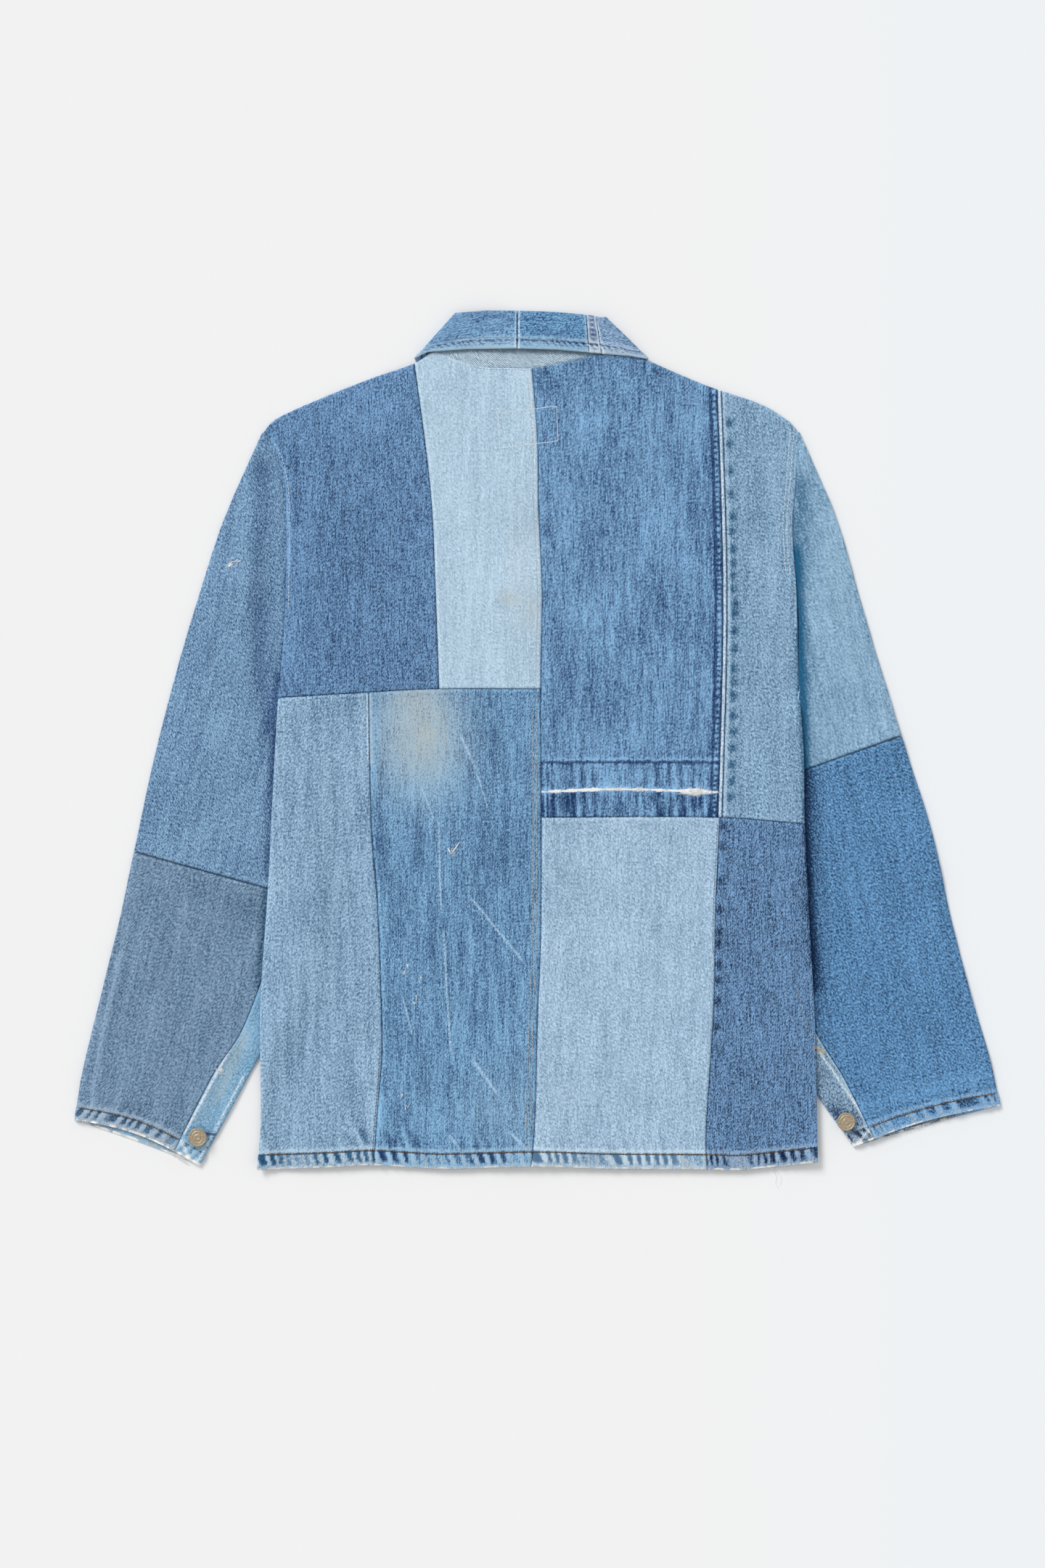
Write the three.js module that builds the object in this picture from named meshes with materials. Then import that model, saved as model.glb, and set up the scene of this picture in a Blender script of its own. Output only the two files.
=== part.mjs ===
// A patched boro jacket laid flat with its back upwards and its fronts on the floor.
// Millimetres. +Z is up, +Y runs to the collar and +X to the right sleeve as seen from above.
import * as THREE from "three";

// Driving dimensions
const CLOTH = 1.2; // worn denim
const SEAM = 0.3; // between two pieces where they are sewn
const EDGE_GAP = 0.5; // between back and front along a fold or side seam
const CURVED_SEAM = 0.9; // between two pieces along an armhole or neck curve
const BACK_LENGTH = 715; // neck seam to hem at the centre back
const HEM_WIDTH = 500;
const SHOULDER_WIDTH = 480;
const SHOULDER_DROP = 58; // neck seam down to the sleeve head
const ARMHOLE_DEPTH = 233;
const HEM_DEPTH = 12.5;
const HEM_RAISE = 0.8; // the turned-up layers under a hem
const FRONT_LAP = 30; // left front under right front at the centre
const COLLAR_FOLD = 2.4; // fall over stand at the roll line, middle to middle
const BACK_LOFT = 2.2; // air between back and fronts, away from the edges
const SLEEVE_LOFT = 1.6;
const FELL_WIDTH = 9;
const FELL_RAISE = 0.7;
const SEAM_STRIP = 3;
const BUTTON_RADIUS = 8.5;
const BUTTON_FOOT = 4.5;
const BUTTON_NECK = 2.6;
const BUTTON_HEIGHT = 4.1;
const BUTTON_SIDES = 20;

// Levels and lines that follow from them
const HALF_SEAM = SEAM / 2;
const HALF_CLOTH = CLOTH / 2;
const HEM_Y = -380;
const NECK_Y = HEM_Y + BACK_LENGTH;
const SHOULDER_Y = NECK_Y - SHOULDER_DROP;
const ARMPIT_Y = SHOULDER_Y - ARMHOLE_DEPTH;
const HALF_HEM = HEM_WIDTH / 2;
const TIP_LEFT = -246;
const TIP_RIGHT = TIP_LEFT + SHOULDER_WIDTH;
const CENTRE_X = -3;
const NECK_LEFT = -93; // where the shoulder seams meet the collar
const NECK_RIGHT = 95;
const LAP_LEFT = CENTRE_X - FRONT_LAP / 2;
const LAP_RIGHT = CENTRE_X + FRONT_LAP / 2;
const LAYER = CLOTH + SEAM;
const TUBE_EDGE = CLOTH + EDGE_GAP; // middle to middle of a flattened tube at its folded edge
const TUCK_RISE = CLOTH + TUBE_EDGE + SLEEVE_LOFT + SEAM; // fronts where they lie over a sleeve
const COLLAR_RISE = COLLAR_FOLD; // fronts where they lie over the collar leaves
const COLLAR_FRONT = COLLAR_RISE + HALF_CLOTH;
const COLLAR_BACK = COLLAR_FRONT + TUBE_EDGE;
const COLLAR_MID = (COLLAR_FRONT + COLLAR_BACK) / 2;

const { lerp, clamp } = THREE.MathUtils;
const ramp = (t) => THREE.MathUtils.smoothstep(t, 0, 1);
const even = (count) => Array.from({ length: count + 1 }, (_, k) => k / count);
const gathered = (count) => even(count).map((t) => (1 - Math.cos(Math.PI * t)) / 2);

// A smooth line through [key, value] points in rising order of key
const OVERRUN = 0.2; // how far past its ends a line still bends
function line(points) {
  const slope = points.map((_, k) => {
    const a = points[Math.max(k - 1, 0)];
    const b = points[Math.min(k + 1, points.length - 1)];
    return (b[1] - a[1]) / (b[0] - a[0]);
  });
  return (key) => {
    const last = points.length - 2;
    const found = points.findIndex((point) => point[0] > key) - 1;
    const k = found < -1 ? last : clamp(found, 0, last);
    const span = points[k + 1][0] - points[k][0];
    const t = clamp((key - points[k][0]) / span, -OVERRUN, 1 + OVERRUN);
    const rise = points[k + 1][1] - points[k][1];
    const pull = (slope[k] * span - rise) * (1 - t) + (rise - slope[k + 1] * span) * t;
    return points[k][1] + rise * t + t * (1 - t) * pull;
  };
}

// Outline of the back: side seams and armholes as x by y, shoulders, neck and hem as y by x
const sideLeft = line([
  [HEM_Y - 3, -HALF_HEM], [-341, -246.7], [-251, -247.3], [-215, -246], [-130, -240], [-30, -235], [31, -231.7],
  [51, -230.4], [101, -225.9], [152, -223.9], [202, -223.9], [232, -225.2], [262, -233.5],
  [SHOULDER_Y, TIP_LEFT],
]);
const sideRight = line([
  [HEM_Y + 3, HALF_HEM], [-300, 248.6], [-250, 247.3], [-180, 243.4], [-130, 240.8], [-74, 238.2], [-17, 237.5],
  [51, 233.7], [137, 231], [192, 227.5], [227, 230], [SHOULDER_Y, TIP_RIGHT],
]);
const topEdge = line([
  [TIP_LEFT, SHOULDER_Y], [-237.6, 287], [-224, 295], [-188, 310.5], [-149, 326], [-109, 339.6],
  [NECK_LEFT, 349.5], [-75, 343.5], [-52, 336.4], [-26, NECK_Y], [-4, NECK_Y], [32, 342], [52, 347],
  [78, 348.5], [NECK_RIGHT, 343.5], [117, 334], [156, 318], [201, 302.6], [226.5, 287],
  [TIP_RIGHT, SHOULDER_Y + 1],
]);
const hemEdge = line([
  [-HALF_HEM, HEM_Y - 3], [-190, HEM_Y - 1], [-149, HEM_Y + 1], [-86, HEM_Y - 2], [-3, HEM_Y], [65, HEM_Y - 2],
  [148, HEM_Y - 2.5], [184, HEM_Y - 3], [HALF_HEM, HEM_Y + 4],
]);
const frontNeck = line([
  [NECK_LEFT, 349.5], [-84, 325], [-66, 303], [-30, 285], [CENTRE_X, 280], [24, 285], [60, 303], [80, 325],
  [NECK_RIGHT, 343.5],
]);
const frontTop = (x) => (x > NECK_LEFT && x < NECK_RIGHT ? frontNeck(x) : topEdge(x));

// Seams between the panels of the back
const slateToPale = line([[48, -88], [137, -91.3], [212, -94.6], [272, -101], [338, -110]]);
const centreSeam = line([
  [-379, -5.5], [-343, -2.3], [-245, 0.3], [-180, 2.9], [-67, 3.6], [48, 2.9], [137, 4.2], [210, 1], [272, 0],
  [336, -5],
]);
const lightToStained = line([
  [-381, -146.6], [-349, -144.6], [-316, -142], [-278, -139.4], [-230, -140], [-143, -143.3], [-80, -148.5],
  [44, -151],
]);
const paleToSlate = line([
  [-381, 151.8], [-351, 151], [-276, 155.7], [-225, 158.3], [-150, 159.6], [-67, 163.5],
]);
const fellEdge = line([[-67, 162], [74, 166], [171, 166], [314, 161.5]]);
const stripEdge = (y) => fellEdge(y) + SEAM_STRIP;
const crossLeft = line([[-231, 40], [-156, 44.5], [-88, 47.8], [3, 47.8]]);
const crossRight = line([[3, -67.3], [163, -67.3], [239, -73]]);

// Stations of each sleeve, armhole to cuff: outer fold and inner fold
const LEFT_SLEEVE = [
  [[TIP_LEFT, SHOULDER_Y], [-231.4, ARMPIT_Y]], [[-281, 198], [-234.6, 30]],
  [[-305, 125], [-229, 2]], [[-322.5, 66.5], [-213.5, -57]],
  [[-343.5, -14.5], [-208.5, -102.5]], [[-361.5, -98], [-208.5, -140]],
  [[-378.5, -177], [-216, -200]], [[-397, -252], [-239.5, -261.5]], [[-407, -294], [-261.5, -304.5]],
  [[-415, -338.5], [-302.5, -379.5]],
];
const RIGHT_SLEEVE = [
  [[TIP_RIGHT, SHOULDER_Y + 1], [234.8, ARMPIT_Y]], [[268, 199], [238, 30]], [[289, 128], [233, 2]],
  [[304, 78], [224.5, -19]], [[326, 6], [220.5, -31.5]], [[352.5, -76.5], [211.5, -96]],
  [[370, -154.5], [210.5, -174]], [[388.5, -226], [220.5, -252]], [[404, -278], [247.5, -310.5]],
  [[415, -325.5], [283, -362.5]],
];
const LAST = LEFT_SLEEVE.length - 1;
const LEFT_CUFF_HOLLOW = 8; // how far the upper hem draws up between the folds
const RIGHT_CUFF_HOLLOW = 5;
const ARMHOLE_FADE = 4; // stations over which the armhole's curve straightens
const innerFold = (stations) => line(stations.slice(1).map(([, inner]) => [inner[1], inner[0]]).reverse());
const foldLeft = innerFold(LEFT_SLEEVE);
const foldRight = innerFold(RIGHT_SLEEVE);

// Soft folds, each a rounded ridge along a straight run
const BACK_FOLDS = [
  { from: [-212, 262], to: [-205, 110], width: 13, height: 2.2 },
  { from: [-188, 268], to: [-182, 150], width: 13, height: 1.6 },
  { from: [214, 180], to: [205, 20], width: 14, height: 1.6 },
  { from: [-232, -60], to: [-232, -250], width: 12, height: 1.4 },
  { from: [226, -80], to: [232, -270], width: 12, height: 1.8 },
];
const SLEEVE_FOLDS = [
  { from: [-247, 225], to: [-262, 70], width: 12, height: 2.4 },
  { from: [-275, 170], to: [-300, 40], width: 16, height: 1.6 },
  { from: [-388, -180], to: [-404, -300], width: 12, height: 1.8 },
  { from: [250, 210], to: [268, 60], width: 12, height: 2 },
  { from: [300, 40], to: [345, -150], width: 20, height: 1.6 },
];
function foldHeight(folds, x, y) {
  return folds.reduce((sum, { from, to, width, height }) => {
    const run = [to[0] - from[0], to[1] - from[1]];
    const length = Math.hypot(...run);
    const along = ((x - from[0]) * run[0] + (y - from[1]) * run[1]) / length;
    const off = ((x - from[0]) * run[1] - (y - from[1]) * run[0]) / length;
    const ends = ramp(along / (2 * width) + 0.5) * ramp((length - along) / (2 * width) + 0.5);
    return sum + height * ends * Math.exp(-((off / width) ** 2));
  }, 0);
}

// Heights of the undersides, fronts first and the back lying on them
const TUCK_CLEAR = 2;
const TUCK_REACH = 42; // width of the slope beside a tucked sleeve
const ARMPIT_RAMP = 20;
const LEAF_CENTRE = [CENTRE_X, 345];
const LEAF_REACH = [120, 135];
const LEAF_FLAT = 0.92;
const LEAF_SLOPE = 0.38;
const LAP_REACH = 40;
const LOFT_REACH = 30;

function tuckHeight(x, y) {
  const below = ramp((ARMPIT_Y - y) / ARMPIT_RAMP);
  const left = ramp((foldLeft(y) + TUCK_REACH - x) / (TUCK_REACH - TUCK_CLEAR));
  const right = ramp((x - foldRight(y) + TUCK_REACH) / (TUCK_REACH - TUCK_CLEAR));
  return TUCK_RISE * below * (left + right);
}
function leafHeight(x, y) {
  const reach = Math.hypot((x - LEAF_CENTRE[0]) / LEAF_REACH[0], (y - LEAF_CENTRE[1]) / LEAF_REACH[1]);
  return COLLAR_RISE * ramp((LEAF_FLAT + LEAF_SLOPE - reach) / LEAF_SLOPE);
}
const lapRight = (x) => LAYER * ramp((LAP_RIGHT + SEAM + LAP_REACH - x) / LAP_REACH);
const lapLeft = (x) => LAYER * ramp((x - LAP_LEFT + SEAM + LAP_REACH) / LAP_REACH);
const leftFrontHeight = (x, y) => tuckHeight(x, y) + leafHeight(x, y);
const rightFrontHeight = (x, y) => leftFrontHeight(x, y) + lapRight(x);
function backHeight(x, y) {
  const inside = Math.max(0, Math.min(x - sideLeft(y), sideRight(y) - x, topEdge(x) - y));
  const loft = BACK_LOFT * (1 - Math.exp(-((inside / LOFT_REACH) ** 2)));
  const lap = Math.min(lapRight(x), lapLeft(x));
  return leftFrontHeight(x, y) + lap + TUBE_EDGE + loft + foldHeight(BACK_FOLDS, x, y);
}

// A closed wall between an outer and an inner grid of points
function wall(outer, inner) {
  const rows = outer.length;
  const cols = outer[0].length;
  const index = [];
  const at = (side, j, i) => (side * rows + j) * cols + i;
  const quad = (a, b, c, d) => index.push(a, b, c, a, c, d);
  for (let j = 0; j < rows - 1; j += 1) {
    for (let i = 0; i < cols - 1; i += 1) {
      quad(at(0, j, i), at(0, j, i + 1), at(0, j + 1, i + 1), at(0, j + 1, i));
      quad(at(1, j, i), at(1, j + 1, i), at(1, j + 1, i + 1), at(1, j, i + 1));
    }
  }
  const border = [];
  for (let i = 0; i < cols - 1; i += 1) border.push([0, i]);
  for (let j = 0; j < rows - 1; j += 1) border.push([j, cols - 1]);
  for (let i = cols - 1; i > 0; i -= 1) border.push([rows - 1, i]);
  for (let j = rows - 1; j > 0; j -= 1) border.push([j, 0]);
  border.forEach((here, k) => {
    const next = border[(k + 1) % border.length];
    quad(at(0, ...next), at(0, ...here), at(1, ...here), at(1, ...next));
  });
  const points = [...outer.flat(), ...inner.flat()];
  if (volume(points, index) < 0) index.reverse();
  const geometry = new THREE.BufferGeometry().setFromPoints(points);
  geometry.setIndex(index);
  geometry.computeVertexNormals();
  return geometry;
}
function volume(points, index) {
  const cross = new THREE.Vector3();
  let sum = 0;
  for (let k = 0; k < index.length; k += 3) {
    cross.crossVectors(points[index[k + 1]], points[index[k + 2]]);
    sum += points[index[k]].dot(cross) / 6;
  }
  return sum;
}

// A flat panel between two sides (x by y) and two ends (y by x), half a seam in from each
const SETTLE_STEPS = 60;
function panelPoint({ left, right, foot, head }, u, v) {
  let x = lerp(left(0), right(0), u);
  let y = 0;
  for (let k = 0; k < SETTLE_STEPS; k += 1) {
    y = (y + lerp(foot(x) + HALF_SEAM, head(x) - HALF_SEAM, v)) / 2;
    x = (x + lerp(left(y) + HALF_SEAM, right(y) - HALF_SEAM, u)) / 2;
  }
  return [x, y];
}
function panel(bounds, across, along, height, raise = () => 0) {
  const grid = along.map((v) => across.map((u) => panelPoint(bounds, u, v)));
  const point = ([x, y], lift) => new THREE.Vector3(x, y, height(x, y) + lift(x, y));
  const level = (lift) => grid.map((row) => row.map((place) => point(place, lift)));
  return wall(level((x, y) => CLOTH + raise(x, y)), level(() => 0));
}

// Rows of the panels: close at the hem and the armpits
const hemPart = (head, x) => HEM_DEPTH / (head(x) - hemEdge(x));
const HEM_LEFT = hemPart(crossLeft, -HALF_HEM / 2);
const HEM_RIGHT = hemPart(crossRight, HALF_HEM / 2);
const HEM_SLOPE = 1.1; // where a raised band is back on the plain cloth
const LOWER_LEFT_ROWS = [
  0, HEM_LEFT, HEM_LEFT * HEM_SLOPE, 0.1, 0.2, 0.32, 0.44, 0.56, 0.68, 0.8, 0.9, 0.945, 0.965, 0.985, 1,
];
const UPPER_LEFT_ROWS = [0, 0.1, 0.22, 0.34, 0.46, 0.58, 0.7, 0.79, 0.87, 0.94, 1];
const LOWER_RIGHT_ROWS = [0, HEM_RIGHT, HEM_RIGHT * HEM_SLOPE, 0.14, 0.28, 0.42, 0.56, 0.7, 0.84, 1];
const UPPER_RIGHT_ROWS = [0, 0.12, 0.22, 0.26, 0.29, 0.32, 0.4, 0.5, 0.6, 0.7, 0.8, 0.9, 1];
const MIDDLE_ROWS = even(14);
const FELL_PART = FELL_WIDTH / (fellEdge(ARMPIT_Y) - centreSeam(ARMPIT_Y));
const FELL_COLUMNS = [0, 0.08, 0.22, 0.4, 0.6, 0.78, 1 - FELL_PART * HEM_SLOPE, 1 - FELL_PART, 1];
const hemRaise = (x, y) => (y < hemEdge(x) + HEM_DEPTH + SEAM ? HEM_RAISE : 0);
const fellRaise = (x, y) => (x > fellEdge(y) - FELL_WIDTH - SEAM ? FELL_RAISE : 0);
const lowerPanel = (left, right, head, across, rows) =>
  panel({ left, right, foot: hemEdge, head }, across, rows, backHeight, hemRaise);
const upperPanel = (left, right, foot, across, rows, raise) =>
  panel({ left, right, foot, head: topEdge }, across, rows, backHeight, raise);

// The fronts keep to the same rows, a little short at the hem
const FRONT_SHORT = 2;
const FRONT_COLUMNS = [
  0, 0.012, 0.035, 0.08, 0.14, 0.22, 0.33, 0.44, 0.53, 0.58, 0.63, 0.68, 0.74, 0.8, 0.87, 0.94, 1,
];
const FRONT_COLUMNS_RIGHT = FRONT_COLUMNS.map((u) => 1 - u).reverse();
function front({ left, right, split, columns, lowerRows, upperRows, height }) {
  const rise = (foot, head, rows) => rows.map((v) => (x) => lerp(foot(x), head(x), v));
  const lines = [
    ...rise((x) => hemEdge(x) + FRONT_SHORT, split, lowerRows),
    ...rise(split, frontTop, upperRows.slice(1)),
  ];
  const grid = lines.map((level) =>
    columns.map((u) => panelPoint({ left, right, foot: level, head: level }, u, 0.5)));
  const lift = (by) => grid.map((row) => row.map(([x, y]) => new THREE.Vector3(x, y, height(x, y) + by)));
  return wall(lift(0), lift(CLOTH));
}

// A sleeve is a flattened tube: section points carry their outward direction
const ARC_STEPS = 4;
const SEAM_BELOW = 0.3; // where the under-sleeve meets the top sleeve, underneath
const CUFF_BELOW = 0.2; // how much of the upper hem's hollow the under layer shares
const LOFT_STATIONS = 1.5; // over which a sleeve fills out from the armhole
const TOP_ABOVE = [1, 0.86, 0.72, 0.58, 0.44, 0.31, 0.2, 0.11, 0.04]; // strip to outer fold
const TOP_BELOW = [0.2, 0.5, 1]; // outer fold to the seam underneath
const UNDER_BELOW = [0, 0.2, 0.4, 0.6, 0.8, 0.93]; // that seam to the inner fold
const UNDER_ABOVE = [0.6, 0.3, 0]; // inner fold to the strip
class Sleeve {
  constructor(stations, armhole, side, stripAt, cuffHollow) {
    const spline = (k) => new THREE.CatmullRomCurve3(stations.map((ends) => new THREE.Vector3(...ends[k], 0)));
    this.ends = [spline(0), spline(1)];
    this.armhole = armhole;
    this.side = side;
    this.stripAt = stripAt;
    this.cuffHollow = cuffHollow;
  }

  // Point in plan at station s and fraction u from the outer to the inner fold
  plan(s, u, hollow = 0) {
    const [outer, inner] = this.ends.map((curve) => curve.getPoint(s / LAST));
    const point = new THREE.Vector3().lerpVectors(outer, inner, u);
    const [first, second] = this.ends.map((curve) => curve.getPoint(0));
    const y = lerp(first.y, second.y, u);
    const bow = this.armhole(y) + this.side * CURVED_SEAM - lerp(first.x, second.x, u);
    point.x += bow * Math.max(0, 1 - s / ARMHOLE_FADE) ** 2;
    point.y += hollow * Math.sin(Math.PI * u) * ramp(s - LAST + 1);
    return point;
  }

  // Middle to middle of the two layers
  height(s, u) {
    return TUBE_EDGE + SLEEVE_LOFT * (1 - (2 * u - 1) ** 4) * ramp(s / LOFT_STATIONS);
  }

  upper(s, u) {
    const point = this.plan(s, u, this.cuffHollow);
    point.z = HALF_CLOTH + this.height(s, u) + foldHeight(SLEEVE_FOLDS, point.x, point.y);
    return { point, out: new THREE.Vector3(0, 0, 1) };
  }

  lower(s, u) {
    const point = this.plan(s, u, this.cuffHollow * CUFF_BELOW);
    point.z = HALF_CLOTH;
    return { point, out: new THREE.Vector3(0, 0, -1) };
  }

  // Half round from the upper layer down to the lower one, at the outer (0) or inner (1) fold
  fold(s, end) {
    const [outer, inner] = this.ends.map((curve) => curve.getPoint(s / LAST));
    const away = new THREE.Vector3().subVectors(outer, inner).normalize().multiplyScalar(end ? -1 : 1);
    const radius = TUBE_EDGE / 2;
    const centre = this.plan(s, end).addScaledVector(away, -radius - HALF_CLOTH);
    centre.z = HALF_CLOTH + radius;
    return even(ARC_STEPS).map((t) => {
      const out = new THREE.Vector3(0, 0, Math.cos(Math.PI * t)).addScaledVector(away, Math.sin(Math.PI * t));
      return { point: centre.clone().addScaledVector(out, radius), out };
    });
  }

  // From the strip over the outer fold to the seam underneath
  topSection(s) {
    const strip = this.stripAt(s) - this.gap(s);
    const over = TOP_ABOVE.map((f) => this.upper(s, f * strip));
    const beneath = TOP_BELOW.map((f) => this.lower(s, f * (SEAM_BELOW - this.gap(s))));
    return [...over, ...this.fold(s, 0), ...beneath];
  }

  // From the seam underneath round the inner fold to the strip
  underSection(s) {
    const strip = this.stripAt(s) + this.gap(s);
    const beneath = UNDER_BELOW.map((f) => this.lower(s, lerp(SEAM_BELOW + this.gap(s), 1, f)));
    const over = UNDER_ABOVE.map((f) => this.upper(s, lerp(strip, 1, f)));
    return [...beneath, ...this.fold(s, 1).reverse(), ...over];
  }

  // Half a seam as a fraction of the width
  gap(s) {
    return HALF_SEAM / this.plan(s, 0).distanceTo(this.plan(s, 1));
  }

  build(section, stations) {
    const rings = stations.map((s) => section.call(this, s).map((ring) => ({ ...ring, s })));
    const level = (by) => rings.map((ring) => ring.map(({ point, out, s }) =>
      point.clone().addScaledVector(out, by(out, s))));
    const hem = (out, s) => (s >= HEM_STATION ? HEM_RAISE * Math.max(0, out.z) : 0);
    return wall(level((out, s) => HALF_CLOTH + hem(out, s)), level(() => -HALF_CLOTH));
  }

  // Top of the strip at fraction u across, with any raise there, and a seam's gap
  buttonSeat(u, raise) {
    return CLOTH + this.height(LAST, u) + raise + SEAM;
  }
}
const HEM_STATION = LAST - 0.27; // the hem's depth, in stations
const LEFT_PATCH = 5; // cross seam of the pieced top sleeve, as a station
const RIGHT_PATCH = 4;
const STATION_GAP = 0.005; // half a seam along the sleeve, in stations
const STATIONS = [
  0, 0.4, 0.8, 1.2, 1.7, 2.3, 3, 3.5, 4, 4.5, 5, 5.7, 6.4, 7.1, 7.8, 8.3, HEM_STATION - 0.03, HEM_STATION, LAST,
];
const above = (patch) => [...STATIONS.filter((s) => s < patch), patch - STATION_GAP];
const below = (patch) => [patch + STATION_GAP, ...STATIONS.filter((s) => s > patch)];
const leftStrip = line([[0, 0.86], [6, 0.85], [7, 0.835], [8, 0.785], [LAST, 0.8]]);
const rightStrip = line([[0, 0.88], [6, 0.88], [7, 0.86], [8, 0.815], [LAST, 0.86]]);
const leftSleeve = new Sleeve(LEFT_SLEEVE, sideLeft, -1, leftStrip, LEFT_CUFF_HOLLOW);
const rightSleeve = new Sleeve(RIGHT_SLEEVE, sideRight, 1, rightStrip, RIGHT_CUFF_HOLLOW);

// Collar stations from the left front round the back to the right front: stand foot, roll line and
// free edge of the fall in plan, turn from the fronts (0) to the back (1), and droop of the roll line
const COLLAR = [
  { foot: -30, roll: [-14, 296], edge: [-56, 240], turn: 0, droop: 0 },
  { foot: -66, roll: [-46, 332], edge: [-84, 290], turn: 0, droop: 0 },
  { foot: -88, roll: [-66, 372], edge: [-104, 332], turn: 0, droop: 0 },
  { foot: NECK_LEFT, roll: [-70.5, 383], edge: [-108, 341.5], turn: 0.25, droop: 0 },
  { foot: NECK_LEFT, roll: [-70.5, 383], edge: [-108, 341.5], turn: 0.5, droop: 0 },
  { foot: NECK_LEFT, roll: [-70.5, 383], edge: [-108, 341.5], turn: 0.75, droop: 0 },
  { foot: -87, roll: [-64, 385], edge: [-98, 349], turn: 1, droop: 0 },
  { foot: -64, roll: [-46, 386.5], edge: [-64, 351.5], turn: 1, droop: 0.25 },
  { foot: -18, roll: [-18, 386.5], edge: [-18, 352], turn: 1, droop: 1 },
  { foot: 15, roll: [17, 385.5], edge: [16, 351], turn: 1, droop: 1 },
  { foot: 44, roll: [44, 382.5], edge: [46.5, 348.5], turn: 1, droop: 0.4 },
  { foot: 54, roll: [52, 381], edge: [57, 347.5], turn: 1, droop: 0.15 },
  { foot: 80, roll: [55.5, 380.3], edge: [82, 345.5], turn: 1, droop: 0 },
  { foot: NECK_RIGHT - CURVED_SEAM, roll: [58, 379], edge: [97, 341], turn: 0.75, droop: 0 },
  { foot: NECK_RIGHT - CURVED_SEAM, roll: [58, 379], edge: [97, 341], turn: 0.5, droop: 0 },
  { foot: NECK_RIGHT - CURVED_SEAM, roll: [58, 379], edge: [97, 341], turn: 0.25, droop: 0 },
  { foot: 86, roll: [55, 368], edge: [94, 330], turn: 0, droop: 0 },
  { foot: 60, roll: [40, 332], edge: [78, 290], turn: 0, droop: 0 },
  { foot: 24, roll: [8, 296], edge: [50, 240], turn: 0, droop: 0 },
];
const COLLAR_END = COLLAR.length - 1;
const JOIN_LEFT = 8;
const BAND_LEFT = 10;
const BAND_RIGHT = 11;
const BAND_RAISE = 0.6;
const ROLL_DROOP = 3.2;
const EDGE_LIFT = 1.5;
const JOIN_GAP = 0.006; // half a seam along the collar, in stations
const FALL_COLUMNS = [0, 0.3, 0.65, 1];
const STAND_STEPS = 3;

// A point a seam's width above a line given as y by x
function beside(curve, x) {
  const fall = (curve(x - SEAM) - curve(x + SEAM)) / (2 * SEAM);
  return new THREE.Vector3(fall, 1, 0).setLength(CURVED_SEAM).add(new THREE.Vector3(x, curve(x), 0));
}
function collarFrame(s) {
  const k = Math.min(Math.floor(s), COLLAR_END - 1);
  const mix = (read) => lerp(read(COLLAR[k]), read(COLLAR[k + 1]), s - k);
  const turn = Math.PI * mix((station) => station.turn);
  const droop = mix((station) => station.droop);
  const footX = mix((station) => station.foot);
  const neck = turn < Math.PI / 2 ? frontNeck : topEdge;
  const foot = beside(neck, footX).setZ(COLLAR_MID);
  const roll = new THREE.Vector3(mix(({ roll: [x] }) => x), mix(({ roll: [, y] }) => y), COLLAR_MID);
  const edge = new THREE.Vector3(mix(({ edge: [x] }) => x), mix(({ edge: [, y] }) => y), COLLAR_MID);
  const up = new THREE.Vector3().subVectors(roll, edge).normalize();
  const aside = new THREE.Vector3(s < COLLAR_END / 2 ? -up.y : up.y, s < COLLAR_END / 2 ? up.x : -up.x, 0);
  const out = aside.multiplyScalar(Math.sin(turn)).setZ(-Math.cos(turn));
  const radius = COLLAR_FOLD / 2;
  roll.addScaledVector(up, -radius - HALF_CLOTH).setZ(COLLAR_MID - ROLL_DROOP * droop);
  edge.setZ(COLLAR_MID + EDGE_LIFT * droop);
  return { foot, roll, edge, up, out, radius };
}
const STAND_HALF = TUBE_EDGE / 2;
const FALL_HALF = STAND_HALF + COLLAR_FOLD;

// The fall from its free edge up to the roll line and round it, onto the stand's back
function fallSection(s) {
  const { roll, edge, up, out, radius } = collarFrame(s);
  const flat = FALL_COLUMNS.map((t) => ({
    point: new THREE.Vector3().lerpVectors(edge, roll, t).addScaledVector(out, FALL_HALF),
    out,
  }));
  const centre = roll.clone().addScaledVector(out, STAND_HALF + radius);
  const round = even(ARC_STEPS).slice(1).map((t) => {
    const turned = out.clone().multiplyScalar(Math.cos(Math.PI * t)).addScaledVector(up, Math.sin(Math.PI * t));
    return { point: centre.clone().addScaledVector(turned, radius), out: turned };
  });
  return [...flat, ...round];
}
function standSection(s) {
  const { roll, foot, up, out } = collarFrame(s);
  const top = roll.clone().addScaledVector(up, -CURVED_SEAM);
  return even(STAND_STEPS).map((t) => ({
    point: new THREE.Vector3().lerpVectors(foot, top, t).addScaledVector(out, STAND_HALF),
    out,
  }));
}
function collarPiece(section, from, to, raise = 0) {
  const halves = even(2 * COLLAR_END).map((t) => t * COLLAR_END);
  const rings = [from, ...halves.filter((s) => s > from && s < to), to].map(section);
  const move = ({ point, out }, by) => point.clone().addScaledVector(out, by);
  const level = (by) => rings.map((ring) => ring.map((place) => move(place, by)));
  return wall(level(HALF_CLOTH + raise), level(-HALF_CLOTH));
}

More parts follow.
